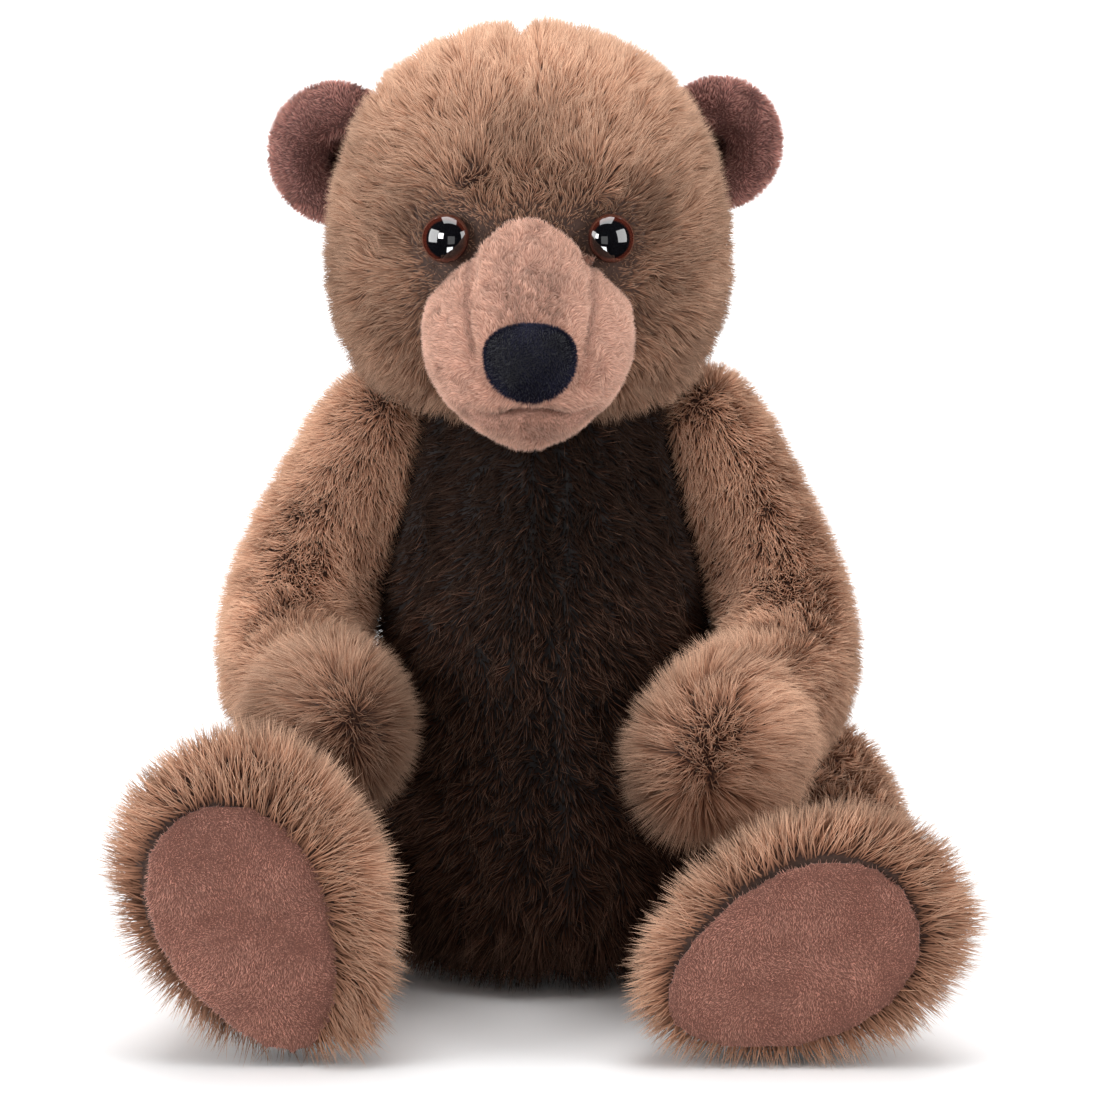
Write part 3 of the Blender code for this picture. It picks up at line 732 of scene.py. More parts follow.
@dataclass
class StuffedForm:
    """A stuffed fabric form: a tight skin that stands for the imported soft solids."""

    name: str
    body: str
    skin: str
    fillings: list[str]
    joints: dict[str, str]
    voxel: float = 0.0040
    cap: float = 0.0015
    inset: float = 0.0050
    backing: ClothFinish = BACKING
    slot: str = "plush"
    replaced: list[str] = field(default_factory=list)
    form: bpy.types.Object | None = None

    def hubs(self) -> list[tuple[np.ndarray, np.ndarray]]:
        """Return each joint's disc and the way out of this form through it."""
        found = []
        for joint, end in self.joints.items():
            here = middle_of(f"{joint}_{end}_disc")
            there = middle_of(f"{joint}_{'outer' if end == 'inner' else 'inner'}_disc")
            found.append((here, unit((there - here)[None, :])[0]))
        return found

    def build(self) -> None:
        """Make the skin, draw it tight, shape it and set it back under its pile."""
        nodes = [self.skin] + self.fillings
        nodes += [f"{joint}_{end}_disc" for joint, end in self.joints.items()]
        self.form = solid_form(self.name, nodes, self.voxel)
        redress(self.form, self.backing)
        inflate(self.form, self.cap)
        refine(self.form)
        points, normals = read_points(self.form.data), read_normals(self.form.data)
        points = points + normals * self.sculpt(points, normals)[:, None]
        write_points(self.form.data, points)
        normals = read_normals(self.form.data)
        deep = self.depth(points) * (1 - self.pressed(points, normals))
        points = points - normals * deep[:, None]
        points[:, 2] = np.maximum(points[:, 2], SKIN_HEIGHT)
        write_points(self.form.data, points)
        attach(self.form, self.body)
        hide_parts(self.skin, *self.replaced)

    def sculpt(self, points: np.ndarray, normals: np.ndarray) -> np.ndarray:
        """Return how far each point moves outwards."""
        return np.zeros(len(points))

    def near_joint(self, points: np.ndarray, reach: float = 0.026) -> np.ndarray:
        """Return 1 close to a joint's disc, fading to 0 away from it."""
        near = np.zeros(len(points))
        for hub, _ in self.hubs():
            gap = distance(points, hub)
            near = np.maximum(near, fall(0.5 * reach, reach, gap))
        return near

    def pressed(self, points: np.ndarray, normals: np.ndarray) -> np.ndarray:
        """Return 1 where the form lies flat against its neighbour."""
        flat = np.zeros(len(points))
        for hub, way in self.hubs():
            gap = distance(points, hub)
            facing = smoothstep(0.70, 0.95, normals @ way)
            flat = np.maximum(flat, facing * fall(0.050, 0.080, gap))
        return flat

    def cover(self, points: np.ndarray, normals: np.ndarray) -> np.ndarray:
        """Return how thick the pile stands: thin where nothing sees it."""
        under = smoothstep(0.75, 0.95, -normals[:, 2]) * (points[:, 2] < 0.03)
        return (1 - 0.70 * self.pressed(points, normals)) * (1 - 0.70 * under)

    def depth(self, points: np.ndarray) -> np.ndarray:
        """Return how far each point is set back under the pile."""
        near = self.near_joint(points)
        return self.inset * (1 - near) + min(self.inset, JOINT_INSET) * near


@dataclass
class Head(StuffedForm):
    """The head: full cheeks, a brow over sunken eyes and a pile combed off the face."""

    def eyes(self) -> list[np.ndarray]:
        """Return the middles of the two eyes."""
        return [middle_of(f"{side.word}_eye") for side in Side]

    def sculpt(self, points: np.ndarray, normals: np.ndarray) -> np.ndarray:
        """Sink the eyes, raise the brow and cheeks, and dent the crown."""
        out = np.zeros(len(points))
        for eye in self.eyes():
            out -= 0.0006 * bump(points, tuple(eye), 0.0100)
        for side in Side:
            out += 0.0036 * bump(points, (HEAD_X + side.value * 0.044, -0.042, 0.203), 0.022)
            out += 0.0042 * bump(points, (HEAD_X + side.value * 0.020, -0.052, 0.257), 0.011)
            out += 0.0030 * bump(points, (HEAD_X + side.value * 0.036, -0.046, 0.252), 0.010)
        crown = ridge(points[:, 0], PARTING_X, 0.0026)
        out -= 0.0040 * crown * smoothstep(0.262, 0.290, points[:, 2])
        return out

    def depth(self, points: np.ndarray) -> np.ndarray:
        """Set the head back less where the muzzle is sewn on and round the eyes."""
        deep = super().depth(points)
        across = np.hypot(points[:, 0] - HEAD_X, points[:, 2] - 0.212)
        face = fall(0.026, 0.044, across) * (points[:, 1] < -0.03)
        deep = deep * (1 - 0.75 * face)
        for eye in self.eyes():
            gap = distance(points, eye)
            deep = deep * (0.1 + 0.9 * smoothstep(0.010, 0.020, gap))
        return deep

    def flow(self, roots: np.ndarray, normals: np.ndarray) -> np.ndarray:
        """Comb off the face: up over the brow, out and down over the cheeks."""
        away = unit(roots - FACE)
        low = fall(0.195, 0.240, roots[:, 2])
        away[:, 2] -= 0.7 * low
        away[:, 1] += 0.15
        away[:, 0] += 0.25 * waves(roots, 0.045, 11)
        away[:, 2] += 0.25 * waves(roots, 0.040, 12)
        part = ridge(roots[:, 0], PARTING_X, 0.006)
        part *= smoothstep(0.27, 0.29, roots[:, 2])
        away[:, 0] += 1.2 * part * np.tanh((roots[:, 0] - PARTING_X) / 0.0015)
        return unit(unit(away) + swirls(roots, 13))

    def length(self, roots: np.ndarray, normals: np.ndarray) -> np.ndarray:
        """Shorten the pile at the eyes, the muzzle's edge and the neck."""
        share = np.ones(len(roots))
        for eye in self.eyes():
            gap = distance(roots, eye)
            share *= 0.38 + 0.62 * smoothstep(0.009, 0.020, gap)
            share *= smoothstep(0.0062, 0.0080, gap)
        across = np.hypot((roots[:, 0] - HEAD_X) / 0.034, (roots[:, 2] - 0.212) / 0.036)
        front = roots[:, 1] < -0.045
        share *= np.where(front, 0.30 + 0.70 * smoothstep(0.80, 1.25, across), 1.0)
        share *= np.where(front & (across < 0.72), 0.0, 1.0)
        return share * (1 - 0.75 * self.near_joint(roots, 0.030))

    def tone(self, roots: np.ndarray, normals: np.ndarray) -> np.ndarray:
        """Paint light on the crown and the brow, and paint shade low on the face, round the eyes
        and under the chin.
        """
        # Painted light from above: the crown is lighter and the lower face darker.
        tone = 0.27 + 0.52 * smoothstep(0.245, 0.297, roots[:, 2])
        tone -= 0.10 * fall(0.200, 0.235, roots[:, 2])
        for side in Side:
            # Painted shade in each eye's socket, and a painted highlight on the brow above it.
            tone -= 0.34 * bump(roots, (HEAD_X + side.value * 0.036, -0.050, 0.238), 0.0100)
            tone += 0.12 * bump(roots, (HEAD_X + side.value * 0.024, -0.052, 0.256), 0.0100)
        # Painted shade under the chin.
        tone -= 0.20 * fall(0.172, 0.195, roots[:, 2])
        return tone + 0.07 * waves(roots, 0.030, 21) + 0.06 * waves(roots, 0.0045, 22)

    def dress(self) -> None:
        """Grow the head's pile."""
        Coat("head_fur", FUR, self.body, 2.30e6, 0.0074, 0.00044, 0.55, self.flow,
             self.length, self.tone, 101, cover=self.cover).grow(self.form)


@dataclass
class Torso(StuffedForm):
    """The body: a front painted dark, partly as a darker plush and partly as painted shade, with
    a seam down the middle.
    """

    def sculpt(self, points: np.ndarray, normals: np.ndarray) -> np.ndarray:
        """Draw the front seam in."""
        seam = ridge(points[:, 0], SEAM_X, 0.0030)
        return -0.0018 * seam * smoothstep(0.2, 0.6, -normals[:, 1])

    def flow(self, roots: np.ndarray, normals: np.ndarray) -> np.ndarray:
        """Comb downwards, away from the middle seam."""
        comb = np.zeros_like(roots)
        comb[:, 2] = -1.0
        comb[:, 0] = 0.5 * np.tanh((roots[:, 0] - SEAM_X) / 0.02) + 0.3 * waves(roots, 0.04, 31)
        comb[:, 1] = 0.2 * waves(roots, 0.04, 32)
        return unit(unit(comb) + swirls(roots, 34))

    def length(self, roots: np.ndarray, normals: np.ndarray) -> np.ndarray:
        """Thin the pile at the joints, under the seat and along the seam."""
        share = 1 - 0.35 * self.pressed(roots, normals)
        share *= 1 - 0.60 * smoothstep(0.8, 0.98, -normals[:, 2])
        share *= 1 + 0.7 * fall(0.008, 0.035, roots[:, 2]) * (normals[:, 1] < -0.2)
        seam = ridge(roots[:, 0], SEAM_X, 0.0020) * (normals[:, 1] < -0.3)
        return share * (1 - 0.45 * seam)

    def tone(self, roots: np.ndarray, normals: np.ndarray) -> np.ndarray:
        """Paint the front dark, partly as a darker plush and partly as painted shade, paint
        shade where the limbs press on, and leave the sides and the back light.
        """
        # The front is darkened partly as a darker plush and partly as painted shade under the
        # head and between the arms; low on the belly it darkens less.
        front = smoothstep(-0.1, 0.6, -normals[:, 1])
        low = fall(0.095, 0.150, roots[:, 2])
        # Painted shade also darkens the pile where the head, arms and legs press against the
        # body.
        tone = 0.50 - (0.56 - 0.14 * low) * front - 0.30 * self.pressed(roots, normals)
        return tone + (0.02 + 0.05 * (1 - front)) * waves(roots, 0.0045, 35)

    def dress(self) -> None:
        """Grow the torso's pile."""
        Coat("torso_fur", TORSO_FUR, self.body, 1.12e6, 0.0076, 0.00050, 0.50, self.flow,
             self.length, self.tone, 102, cover=self.cover, grain=0.07).grow(self.form)


@dataclass
class Arm(StuffedForm):
    """An arm: combed down from the shoulder, shaggy and radiating at the paw."""

    side: Side = Side.RIGHT
    paw: tuple = (0.0, 0.0, 0.0)
    hang: float = 0.2
    fan_shift: tuple = (0.0, 0.0, 0.0)
    swell: float = 0.0

    def sculpt(self, points: np.ndarray, normals: np.ndarray) -> np.ndarray:
        """Fill out the paw below and towards the body."""
        below = np.clip(-normals[:, 2] * 0.8 - normals[:, 0] * self.side.value * 0.6, 0, 1)
        return self.swell * below * self.at_paw(points)

    def flow(self, roots: np.ndarray, normals: np.ndarray) -> np.ndarray:
        """Comb down the arm and fan out round the paw."""
        paw = np.array(self.paw)
        hub = self.hubs()[0][0]
        down = unit(paw - roots + np.array([0, 0, -0.03]))
        fan = unit(roots - paw + np.array(self.fan_shift))
        near = fall(0.020, 0.045, distance(roots, paw))[:, None]
        comb = down * (1 - near) + (fan + np.array([0, -0.2, -0.55])) * near
        high = fall(0.0, 0.03, distance(roots, hub) - 0.02)
        comb[:, 2] -= 0.4 * high
        comb[:, 0] += 0.22 * waves(roots, 0.035, 41)
        comb[:, 1] += 0.22 * waves(roots, 0.035, 42)
        return unit(unit(comb) + swirls(roots, 44, 0.28) * (1 - 0.6 * near))

    def at_paw(self, roots: np.ndarray) -> np.ndarray:
        """Return 1 on the paw and 0 up the arm."""
        gap = distance(roots, self.paw)
        return fall(0.030, 0.040, gap)

    def length(self, roots: np.ndarray, normals: np.ndarray) -> np.ndarray:
        """Thin the pile where the arm lies on the body and stop it at the paw."""
        return (1 - 0.35 * self.pressed(roots, normals)) * (self.at_paw(roots) < 0.5)

    def paw_length(self, roots: np.ndarray, normals: np.ndarray) -> np.ndarray:
        """Let the paw's pile hang longest below."""
        below = smoothstep(0.1, 0.9, -normals[:, 2])
        return (1 + self.hang * below) * (self.at_paw(roots) >= 0.5)

    def tone(self, roots: np.ndarray, normals: np.ndarray) -> np.ndarray:
        """Paint shade low down, on the side towards the body, where the arm lies against it and
        over the paw.
        """
        # Painted shade: darker low down, on the side towards the body and where the arm lies
        # against it.
        low = fall(0.070, 0.120, roots[:, 2])
        inner = smoothstep(0.2, 0.9, -normals[:, 0] * self.side.value)
        tone = 0.88 - 0.40 * low - 0.25 * inner - 0.15 * self.pressed(roots, normals)
        tone -= PAW_SHADE[self.side] * self.at_paw(roots)
        return tone + 0.08 * waves(roots, 0.028, 43) + 0.06 * waves(roots, 0.0045, 45)

    def dress(self) -> None:
        """Grow the arm's pile and the longer tufts of the paw."""
        word, turn = self.side.word, self.side.value
        Coat(f"{word}_arm_fur", FUR, self.body, 2.35e6, 0.0078, 0.00044, 0.58, self.flow,
             self.length, self.tone, 103 + turn, clumping=0.22,
             cover=self.cover).grow(self.form)
        Coat(f"{word}_paw_fur", FUR, self.body, 2.2e6, 0.0112, 0.00044, 0.50, self.flow,
             self.paw_length, self.tone, 113 + turn, clump=0.0070, clumping=0.70,
             stray=0.16).grow(self.form)


PAD_LEAN = {Side.RIGHT: math.radians(25), Side.LEFT: math.radians(66)}
PAD_LONG, PAD_SHORT, PAD_EGG, PAD_DROP = 0.0405, 0.0262, 0.20, 0.0030


def pad_reach(side: Side, points: np.ndarray) -> np.ndarray:
    """Measure places against a foot pad's oval.

    Args:
        side: Which foot.
        points: The places.

    Returns:
        0 at the pad's middle and 1 along its edge, seen from the front.
    """
    centre = middle_of(f"{side.word}_foot_pad")
    lean = side.value * PAD_LEAN[side]
    x, z = points[:, 0] - centre[0], points[:, 2] - centre[2] + PAD_DROP
    up = x * math.sin(lean) + z * math.cos(lean)
    across = x * math.cos(lean) - z * math.sin(lean)
    rise = np.clip(up / PAD_LONG, -1.2, 1.2)
    return np.hypot(rise, across / (PAD_SHORT * (1 + PAD_EGG * rise)))


@dataclass
class Leg(StuffedForm):
    """A leg: combed to the foot, with a long ruff round the sole."""

    side: Side = Side.RIGHT
    lower: float = 0.0

    def sole(self) -> tuple[np.ndarray, np.ndarray]:
        """Return the middle and half size of the foot pad."""
        low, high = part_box(f"{self.side.word}_foot_pad")
        return np.array((low + high) / 2), np.array((high - low) / 2)

    def ring(self, roots: np.ndarray) -> np.ndarray:
        """Return how far out each root lies: 1 at the pad's edge."""
        return pad_reach(self.side, roots)

    def sculpt(self, points: np.ndarray, normals: np.ndarray) -> np.ndarray:
        """Swell the foot's edge round the sole."""
        centre, _ = self.sole()
        front = fall(0.004, 0.020, points[:, 1] - centre[1])
        out = 0.0030 * front * ridge(self.ring(points), 1.30, 0.18)
        foot = fall(0.030, 0.070, points[:, 1] - centre[1])
        return out - self.lower * foot * np.clip(normals[:, 2], 0, 1)

    def depth(self, points: np.ndarray) -> np.ndarray:
        """Keep the foot's flat face at the pad."""
        centre, _ = self.sole()
        flat = fall(0.004, 0.016, points[:, 1] - centre[1])
        flat *= fall(0.95, 1.25, self.ring(points))
        return super().depth(points) * (1 - 0.85 * flat)

    def flow(self, roots: np.ndarray, normals: np.ndarray) -> np.ndarray:
        """Comb towards the foot and fan out round the sole."""
        centre, _ = self.sole()
        fan = roots - centre
        fan[:, 1] = 0
        fan = unit(fan)
        fan[:, 1] = -0.45
        along = np.zeros_like(roots)
        along[:, 1] = -1.0
        along[:, 2] = -0.35
        front = fall(0.006, 0.030, roots[:, 1] - centre[1])[:, None]
        comb = along * (1 - front) + fan * front * 1.4
        comb[:, 0] += 0.22 * waves(roots, 0.035, 51)
        comb[:, 2] += 0.22 * waves(roots, 0.035, 52)
        return unit(unit(comb) + swirls(roots, 54) * (1 - 0.7 * front))

    def length(self, roots: np.ndarray, normals: np.ndarray) -> np.ndarray:
        """Lengthen the ruff, clear the sole and thin the underside."""
        centre, _ = self.sole()
        ring = self.ring(roots)
        front = fall(0.004, 0.022, roots[:, 1] - centre[1])
        share = 1.0 + 0.55 * front
        facing = (normals[:, 1] < -0.35) & (roots[:, 1] < centre[1] + 0.012)
        share *= np.where(facing & (ring < 0.93), 0.0, 1.0)
        under = smoothstep(0.7, 0.95, -normals[:, 2]) * (1 - front)
        return share * (1 - 0.7 * under) * (1 - 0.60 * self.pressed(roots, normals))

    def tone(self, roots: np.ndarray, normals: np.ndarray) -> np.ndarray:
        """Paint shade where the leg lies against the body, and vary the pile's tone a little."""
        # Painted shade where the leg presses against the body.
        tone = 0.60 - 0.25 * self.pressed(roots, normals)
        return tone + 0.08 * waves(roots, 0.028, 53) + 0.06 * waves(roots, 0.0045, 55)

    def cover(self, points: np.ndarray, normals: np.ndarray) -> np.ndarray:
        """Grow the ruff round the sole thicker than the rest of the leg."""
        centre, _ = self.sole()
        front = fall(0.010, 0.035, points[:, 1] - centre[1])
        return super().cover(points, normals) * (0.80 + 0.20 * front)

    def dress(self) -> None:
        """Grow the leg's pile."""
        Coat(f"{self.side.word}_leg_fur", FUR, self.body, 1.42e6, 0.0086, 0.00050, 0.52,
             self.flow, self.length, self.tone, 106 + self.side.value,
             cover=self.cover).grow(self.form)


# ------------------------------------------------------------------ small soft pieces
@dataclass
class NapPiece:
    """A short-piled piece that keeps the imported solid's own shape."""

    name: str
    body: str
    nodes: list[str]
    cloth: ClothFinish
    nap: StrandFinish
    slot: str
    voxel: float
    density: float
    length: float
    width: float
    seed: int
    lift: float = 0.75
    clump: float = 0.0012
    rounds: int = 3
    padded: bool = False
    form: bpy.types.Object | None = None

    def shape_form(self) -> None:
        """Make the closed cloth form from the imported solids."""
        self.form = solid_form(self.name, self.nodes, self.voxel, self.rounds)
        redress(self.form, self.cloth)

    def build(self) -> None:
        """Make the cloth form and set it back under its nap."""
        self.shape_form()
        refine(self.form)
        points, normals = read_points(self.form.data), read_normals(self.form.data)
        points = points + normals * self.sculpt(points, normals)[:, None]
        points[:, 2] = np.maximum(points[:, 2], NAP_HEIGHT)
        write_points(self.form.data, points)
        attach(self.form, self.body)
        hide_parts(*self.nodes)

    def sculpt(self, points: np.ndarray, normals: np.ndarray) -> np.ndarray:
        """Return how far each point moves outwards."""
        return np.full(len(points), -0.6 * self.length)

    def flow(self, roots: np.ndarray, normals: np.ndarray) -> np.ndarray:
        """Brush the nap in slow swirls."""
        comb = np.stack([waves(roots, 0.018, self.seed + i) for i in range(3)], axis=1)
        return comb + np.array([0, 0, -0.3])

    def share(self, roots: np.ndarray, normals: np.ndarray) -> np.ndarray:
        """Return each strand's share of the full length."""
        return np.ones(len(roots))

    def tone(self, roots: np.ndarray, normals: np.ndarray) -> np.ndarray:
        """Return each strand's tone."""
        return 0.5 + 0.12 * waves(roots, 0.012, self.seed + 5)

    def cover(self, roots: np.ndarray, normals: np.ndarray) -> np.ndarray:
        """Leave the nap off what lies inside the head."""
        inside = (roots - HEAD_MIDDLE) / HEAD_CORE
        return (np.linalg.norm(inside, axis=1) > 1.0).astype(float)

    def dress(self) -> None:
        """Grow the nap."""
        Coat(f"{self.name}_nap", self.nap, self.body, self.density, self.length, self.width,
             self.lift, self.flow, self.share, self.tone, self.seed, clump=self.clump,
             clumping=0.45, slot=self.slot, cover=self.cover).grow(self.form)


@dataclass
class Muzzle(NapPiece):
    """The muzzle: two seams beside the bridge, a mouth line and a lower lip."""

    def mouth(self, points: np.ndarray) -> np.ndarray:
        """Return 1 along the mouth line, which dips at both ends."""
        x = (points[:, 0] - NOSE_X) / 0.0205
        line = 0.1868 + 0.0014 * np.cos(x * 4.2) + 0.0045 * np.maximum(0, np.abs(x) - 0.6)
        on = ridge(points[:, 2], line, 0.0018)
        return on * fall(0.75, 1.15, np.abs(x)) * (points[:, 1] < -0.060)

    def seams(self, points: np.ndarray) -> np.ndarray:
        """Return 1 along the two seams beside the bridge."""
        x = points[:, 0] - NOSE_X
        rise = np.clip((points[:, 2] - 0.206) / 0.030, 0, 1)
        line = 0.0165 + 0.0022 * np.sin(math.pi * rise)
        on = ridge(np.abs(x), line, 0.0012)
        on *= smoothstep(0.201, 0.207, points[:, 2])
        on *= fall(0.232, 0.237, points[:, 2])
        return on * (points[:, 1] < -0.05)

    def sculpt(self, points: np.ndarray, normals: np.ndarray) -> np.ndarray:
        """Draw in the seams and the mouth, and fill out the cheeks and the lip."""
        out = super().sculpt(points, normals)
        out -= 0.0020 * self.seams(points) + 0.0052 * self.mouth(points)
        for side in Side:
            out += 0.0016 * bump(points, (NOSE_X + side.value * 0.022, -0.080, 0.206), 0.013)
        return out + 0.0022 * bump(points, (NOSE_X, -0.092, 0.1795), 0.010)

    def flow(self, roots: np.ndarray, normals: np.ndarray) -> np.ndarray:
        """Brush off the nose, in swirls."""
        away = unit(roots - np.array([NOSE_X, -0.112, 0.206]))
        return unit(away + swirls(roots, 61, 0.75))

    def share(self, roots: np.ndarray, normals: np.ndarray) -> np.ndarray:
        """Shorten the nap in the seams and the mouth."""
        return 1 - 0.5 * self.seams(roots) - 0.6 * self.mouth(roots)

    def tone(self, roots: np.ndarray, normals: np.ndarray) -> np.ndarray:
        """Darken the seams, the mouth and a brushed patch over the nose, and paint shade just
        under the mouth's middle; the mouth is partly a dark stitched line and partly painted
        shade in its groove.
        """
        tone = 0.62 + 0.06 * waves(roots, 0.010, 206) + 0.14 * waves(roots, 0.0026, 207)
        # The mouth's darkness is partly a dark stitched line and partly painted shade in its
        # groove.
        tone -= 0.55 * self.seams(roots) + 0.75 * self.mouth(roots)
        x, z = roots[:, 0] - NOSE_X, roots[:, 2]
        patch = fall(0.007, 0.0125, np.abs(x)) * smoothstep(0.208, 0.213, z)
        patch *= fall(0.222, 0.238, z)
        brushed = 0.42 + 0.26 * waves(roots, 0.0028, 208)
        # Painted shade just under the middle of the mouth line, on the lip.
        chin = fall(0.006, 0.017, np.abs(x)) * fall(0.186, 0.191, z)
        chin *= smoothstep(0.1775, 0.1815, z)
        return tone - brushed * patch - (0.34 + 0.15 * waves(roots, 0.0026, 209)) * chin


@dataclass
class Nose(NapPiece):
    """The padded nose: broad and flat on top, narrower below."""

    def shape_form(self) -> None:
        """Swell a sphere into the nose's rounded wedge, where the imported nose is."""
        low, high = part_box(self.nodes[0])
        shape = bmesh.new()
        bmesh.ops.create_uvsphere(shape, u_segments=48, v_segments=32, radius=1.0)
        for vertex in shape.verts:
            x, y, z = vertex.co
            wide = 0.0140 * (1 + 0.12 * z) * math.copysign(abs(x) ** 0.90, x)
            tall = 0.0123 * math.copysign(abs(z) ** 0.88, z)
            vertex.co = (NOSE_X + wide, 0.0120 * y, (low.z + high.z) / 2 + tall)
            vertex.co.y += low.y + 0.0112 - 0.10 * (vertex.co.z - 0.2018)
        self.form = add_piece(self.name, shape, self.cloth)


@dataclass
class Ear(NapPiece):
    """A velour ear: a thick rolled rim round a small hollow by the head, with painted shade in
    the hollow and a painted sheen on the rim.
    """

    side: Side = Side.RIGHT
    drop: float = 0.0

    def place(self) -> tuple[Vector, float]:
        """Return the ear's middle and its outer radius."""
        low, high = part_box(self.nodes[0])
        radius = (high.z - low.z) / 2
        outer = low.x if self.side is Side.RIGHT else high.x
        return Vector((outer - self.side.value * radius, (low.y + high.y) / 2,
                       (low.z + high.z) / 2 - self.drop)), radius

    def shape_form(self) -> None:
        """Spin the rim's profile and lean the hollow towards the head."""
        centre, radius = self.place()
        profile = ((0.00, -4.6), (0.12, -4.4), (0.24, -3.0), (0.34, -0.6), (0.45, 2.0),
                   (0.58, 4.0), (0.72, 4.7), (0.86, 3.8), (0.95, 1.8), (1.00, -0.6),
                   (0.96, -3.2), (0.84, -5.4), (0.62, -7.0), (0.32, -7.9), (0.00, -8.2))
        shape = spun([Vector((r * radius, 0, d * 0.001)) for r, d in profile], 48)
        inward = -self.side.value
        for vertex in shape.verts:
            reach = vertex.co.xy.length / radius
            front = 1.0 if vertex.co.z > -0.0007 - 0.004 * (1 - reach) else 0.0
            lean = front * radius * (1 - reach * reach)
            vertex.co.x += inward * 0.20 * lean
            vertex.co.y -= 0.14 * lean
            toward = max(0.0, inward * vertex.co.x / radius)
            if vertex.co.z > 0:
                vertex.co.z *= 1 - 0.75 * toward
        stand = Matrix.Rotation(math.radians(90), 4, "X")
        turn = Matrix.Rotation(self.side.value * math.radians(14), 4, "Z")
        shape.transform(Matrix.Translation(centre) @ turn @ stand)
        self.form = add_piece(self.name, shape, self.cloth)

    def flow(self, roots: np.ndarray, normals: np.ndarray) -> np.ndarray:
        """Brush the nap out over the rim."""
        centre, _ = self.place()
        return unit(unit(roots - np.array(centre)) + swirls(roots, self.seed, 0.8))

    def tone(self, roots: np.ndarray, normals: np.ndarray) -> np.ndarray:
        """Paint a sheen on the rim and a highlight on its upper fold, and paint shade in the
        hollow.
        """
        centre, radius = self.place()
        x = (roots[:, 0] - centre.x) * self.side.value / radius
        z = (roots[:, 2] - centre.z) / radius
        # Painted sheen: the rim is lighter towards its edge.
        tone = 0.48 + 0.30 * smoothstep(0.75, 1.0, np.hypot(x, z))
        front = normals[:, 1] < 0.3
        # Painted shade in the hollow by the head.
        hollow = fall(0.22, 0.42, np.hypot(x + 0.20, z + 0.14)) * front
        # A painted highlight on the rim's upper fold.
        fold = bump(roots, (centre.x, centre.y - 0.006, centre.z + 0.62 * radius), 0.006)
        tone += 0.16 * fold
        return tone - 0.62 * hollow + 0.10 * waves(roots, 0.0030, self.seed + 7)


@dataclass
class Sole(NapPiece):
    """A foot pad: a slightly puffed oval of velour."""

    side: Side = Side.RIGHT

    def cover(self, roots: np.ndarray, normals: np.ndarray) -> np.ndarray:
        """Leave the nap off the back of the pad."""
        return (normals[:, 1] < 0.1).astype(float)

    def sculpt(self, points: np.ndarray, normals: np.ndarray) -> np.ndarray:
        """Puff the middle of the pad forwards."""
        ring = pad_reach(self.side, points)
        front = normals[:, 1] < -0.3
        return -0.0004 + 0.0022 * front * np.clip(1 - ring ** 2, 0, 1)

    def shape_form(self) -> None:
        """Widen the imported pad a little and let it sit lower."""
        super().shape_form()
        points = read_points(self.form.data)
        middle = points.mean(axis=0)
        points = middle + (points - middle) * np.array([1.05, 1.0, 1.06])
        points[:, 2] -= PAD_DROP
        write_points(self.form.data, points)

    def tone(self, roots: np.ndarray, normals: np.ndarray) -> np.ndarray:
        """Mottle the velour finely and paint shade along its edge, where the ruff stands over
        it.
        """
        ring = pad_reach(self.side, roots)
        # Painted shade along the pad's edge, under the ruff.
        tone = 0.55 - 0.22 * smoothstep(0.82, 1.0, ring)
        return tone + 0.15 * waves(roots, 0.0018, self.seed) + 0.06 * waves(roots, 0.012, 7)


EYE_RADIUS, EYE_DOME, EYE_RINGS, EYE_STEM_REACH = 0.0075, 0.0050, 12, 0.0038


@dataclass
class Eye:
    """A polished safety eye."""

    side: Side

    def build(self) -> None:
        """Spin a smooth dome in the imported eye's place."""
        node = f"{self.side.word}_eye"
        points = read_points(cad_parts[node].data)
        axis = Vector(self.axis(points))
        reach = float(np.max(points @ np.array(axis)))
        middle = Vector(points.mean(axis=0))
        front = middle + axis * (reach - middle.dot(axis))
        profile = [Vector((0, 0, EYE_DOME))]
        for number in range(1, EYE_RINGS + 1):
            turn = math.pi / 2 * number / EYE_RINGS
            profile.append(Vector((EYE_RADIUS * math.sin(turn), 0, EYE_DOME * math.cos(turn))))
        profile.append(Vector((EYE_RADIUS * 0.96, 0, -0.0006)))
        profile.append(Vector((0, 0, -0.0006)))
        shape = spun(profile, 40)
        turn = axis.to_track_quat("Z", "Y").to_matrix().to_4x4()
        seat = front - axis * EYE_DOME
        bmesh.ops.transform(shape, matrix=Matrix.Translation(seat) @ turn, verts=shape.verts)
        finish = EyeFinish(f"{node}_polish", seat, EYE_RADIUS)
        piece = add_piece(f"{node}_dome", shape, finish)
        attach(piece, "head")
        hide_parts(node)
        LOG.info("%s stands at %s, facing %s", node, seat, axis)

    def axis(self, points: np.ndarray) -> np.ndarray:
        """Return the eye's axis, from the stem's end to the dome's top."""
        middle = points.mean(axis=0)
        reach = distance(points, middle)
        end = points[np.argmax(reach)]
        ring = points[distance(points, end) < EYE_STEM_REACH]
        return unit((middle - ring.mean(axis=0))[None, :])[0]


# ------------------------------------------------------------------ hardware and studio
class Hardware:
    """The joint discs and fastenings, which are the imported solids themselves."""

    finishes = {"disc": BOARD, "bolt": STEEL, "nut": STEEL, "eye_washer": PLASTIC,
                "washer": STEEL, "bag": BEANS}

    def dress(self) -> None:
        """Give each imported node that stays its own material."""
        for name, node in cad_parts.items():
            for word, finish in self.finishes.items():
                if name.endswith(word):
                    redress(node, finish)
                    break


@dataclass(frozen=True)
class Lamp:
    """One area light; a glint only shows as a reflection in the eyes."""

    name: str
    place: tuple
    size: float
    power: float
    aim: tuple | None = None
    glint: bool = False


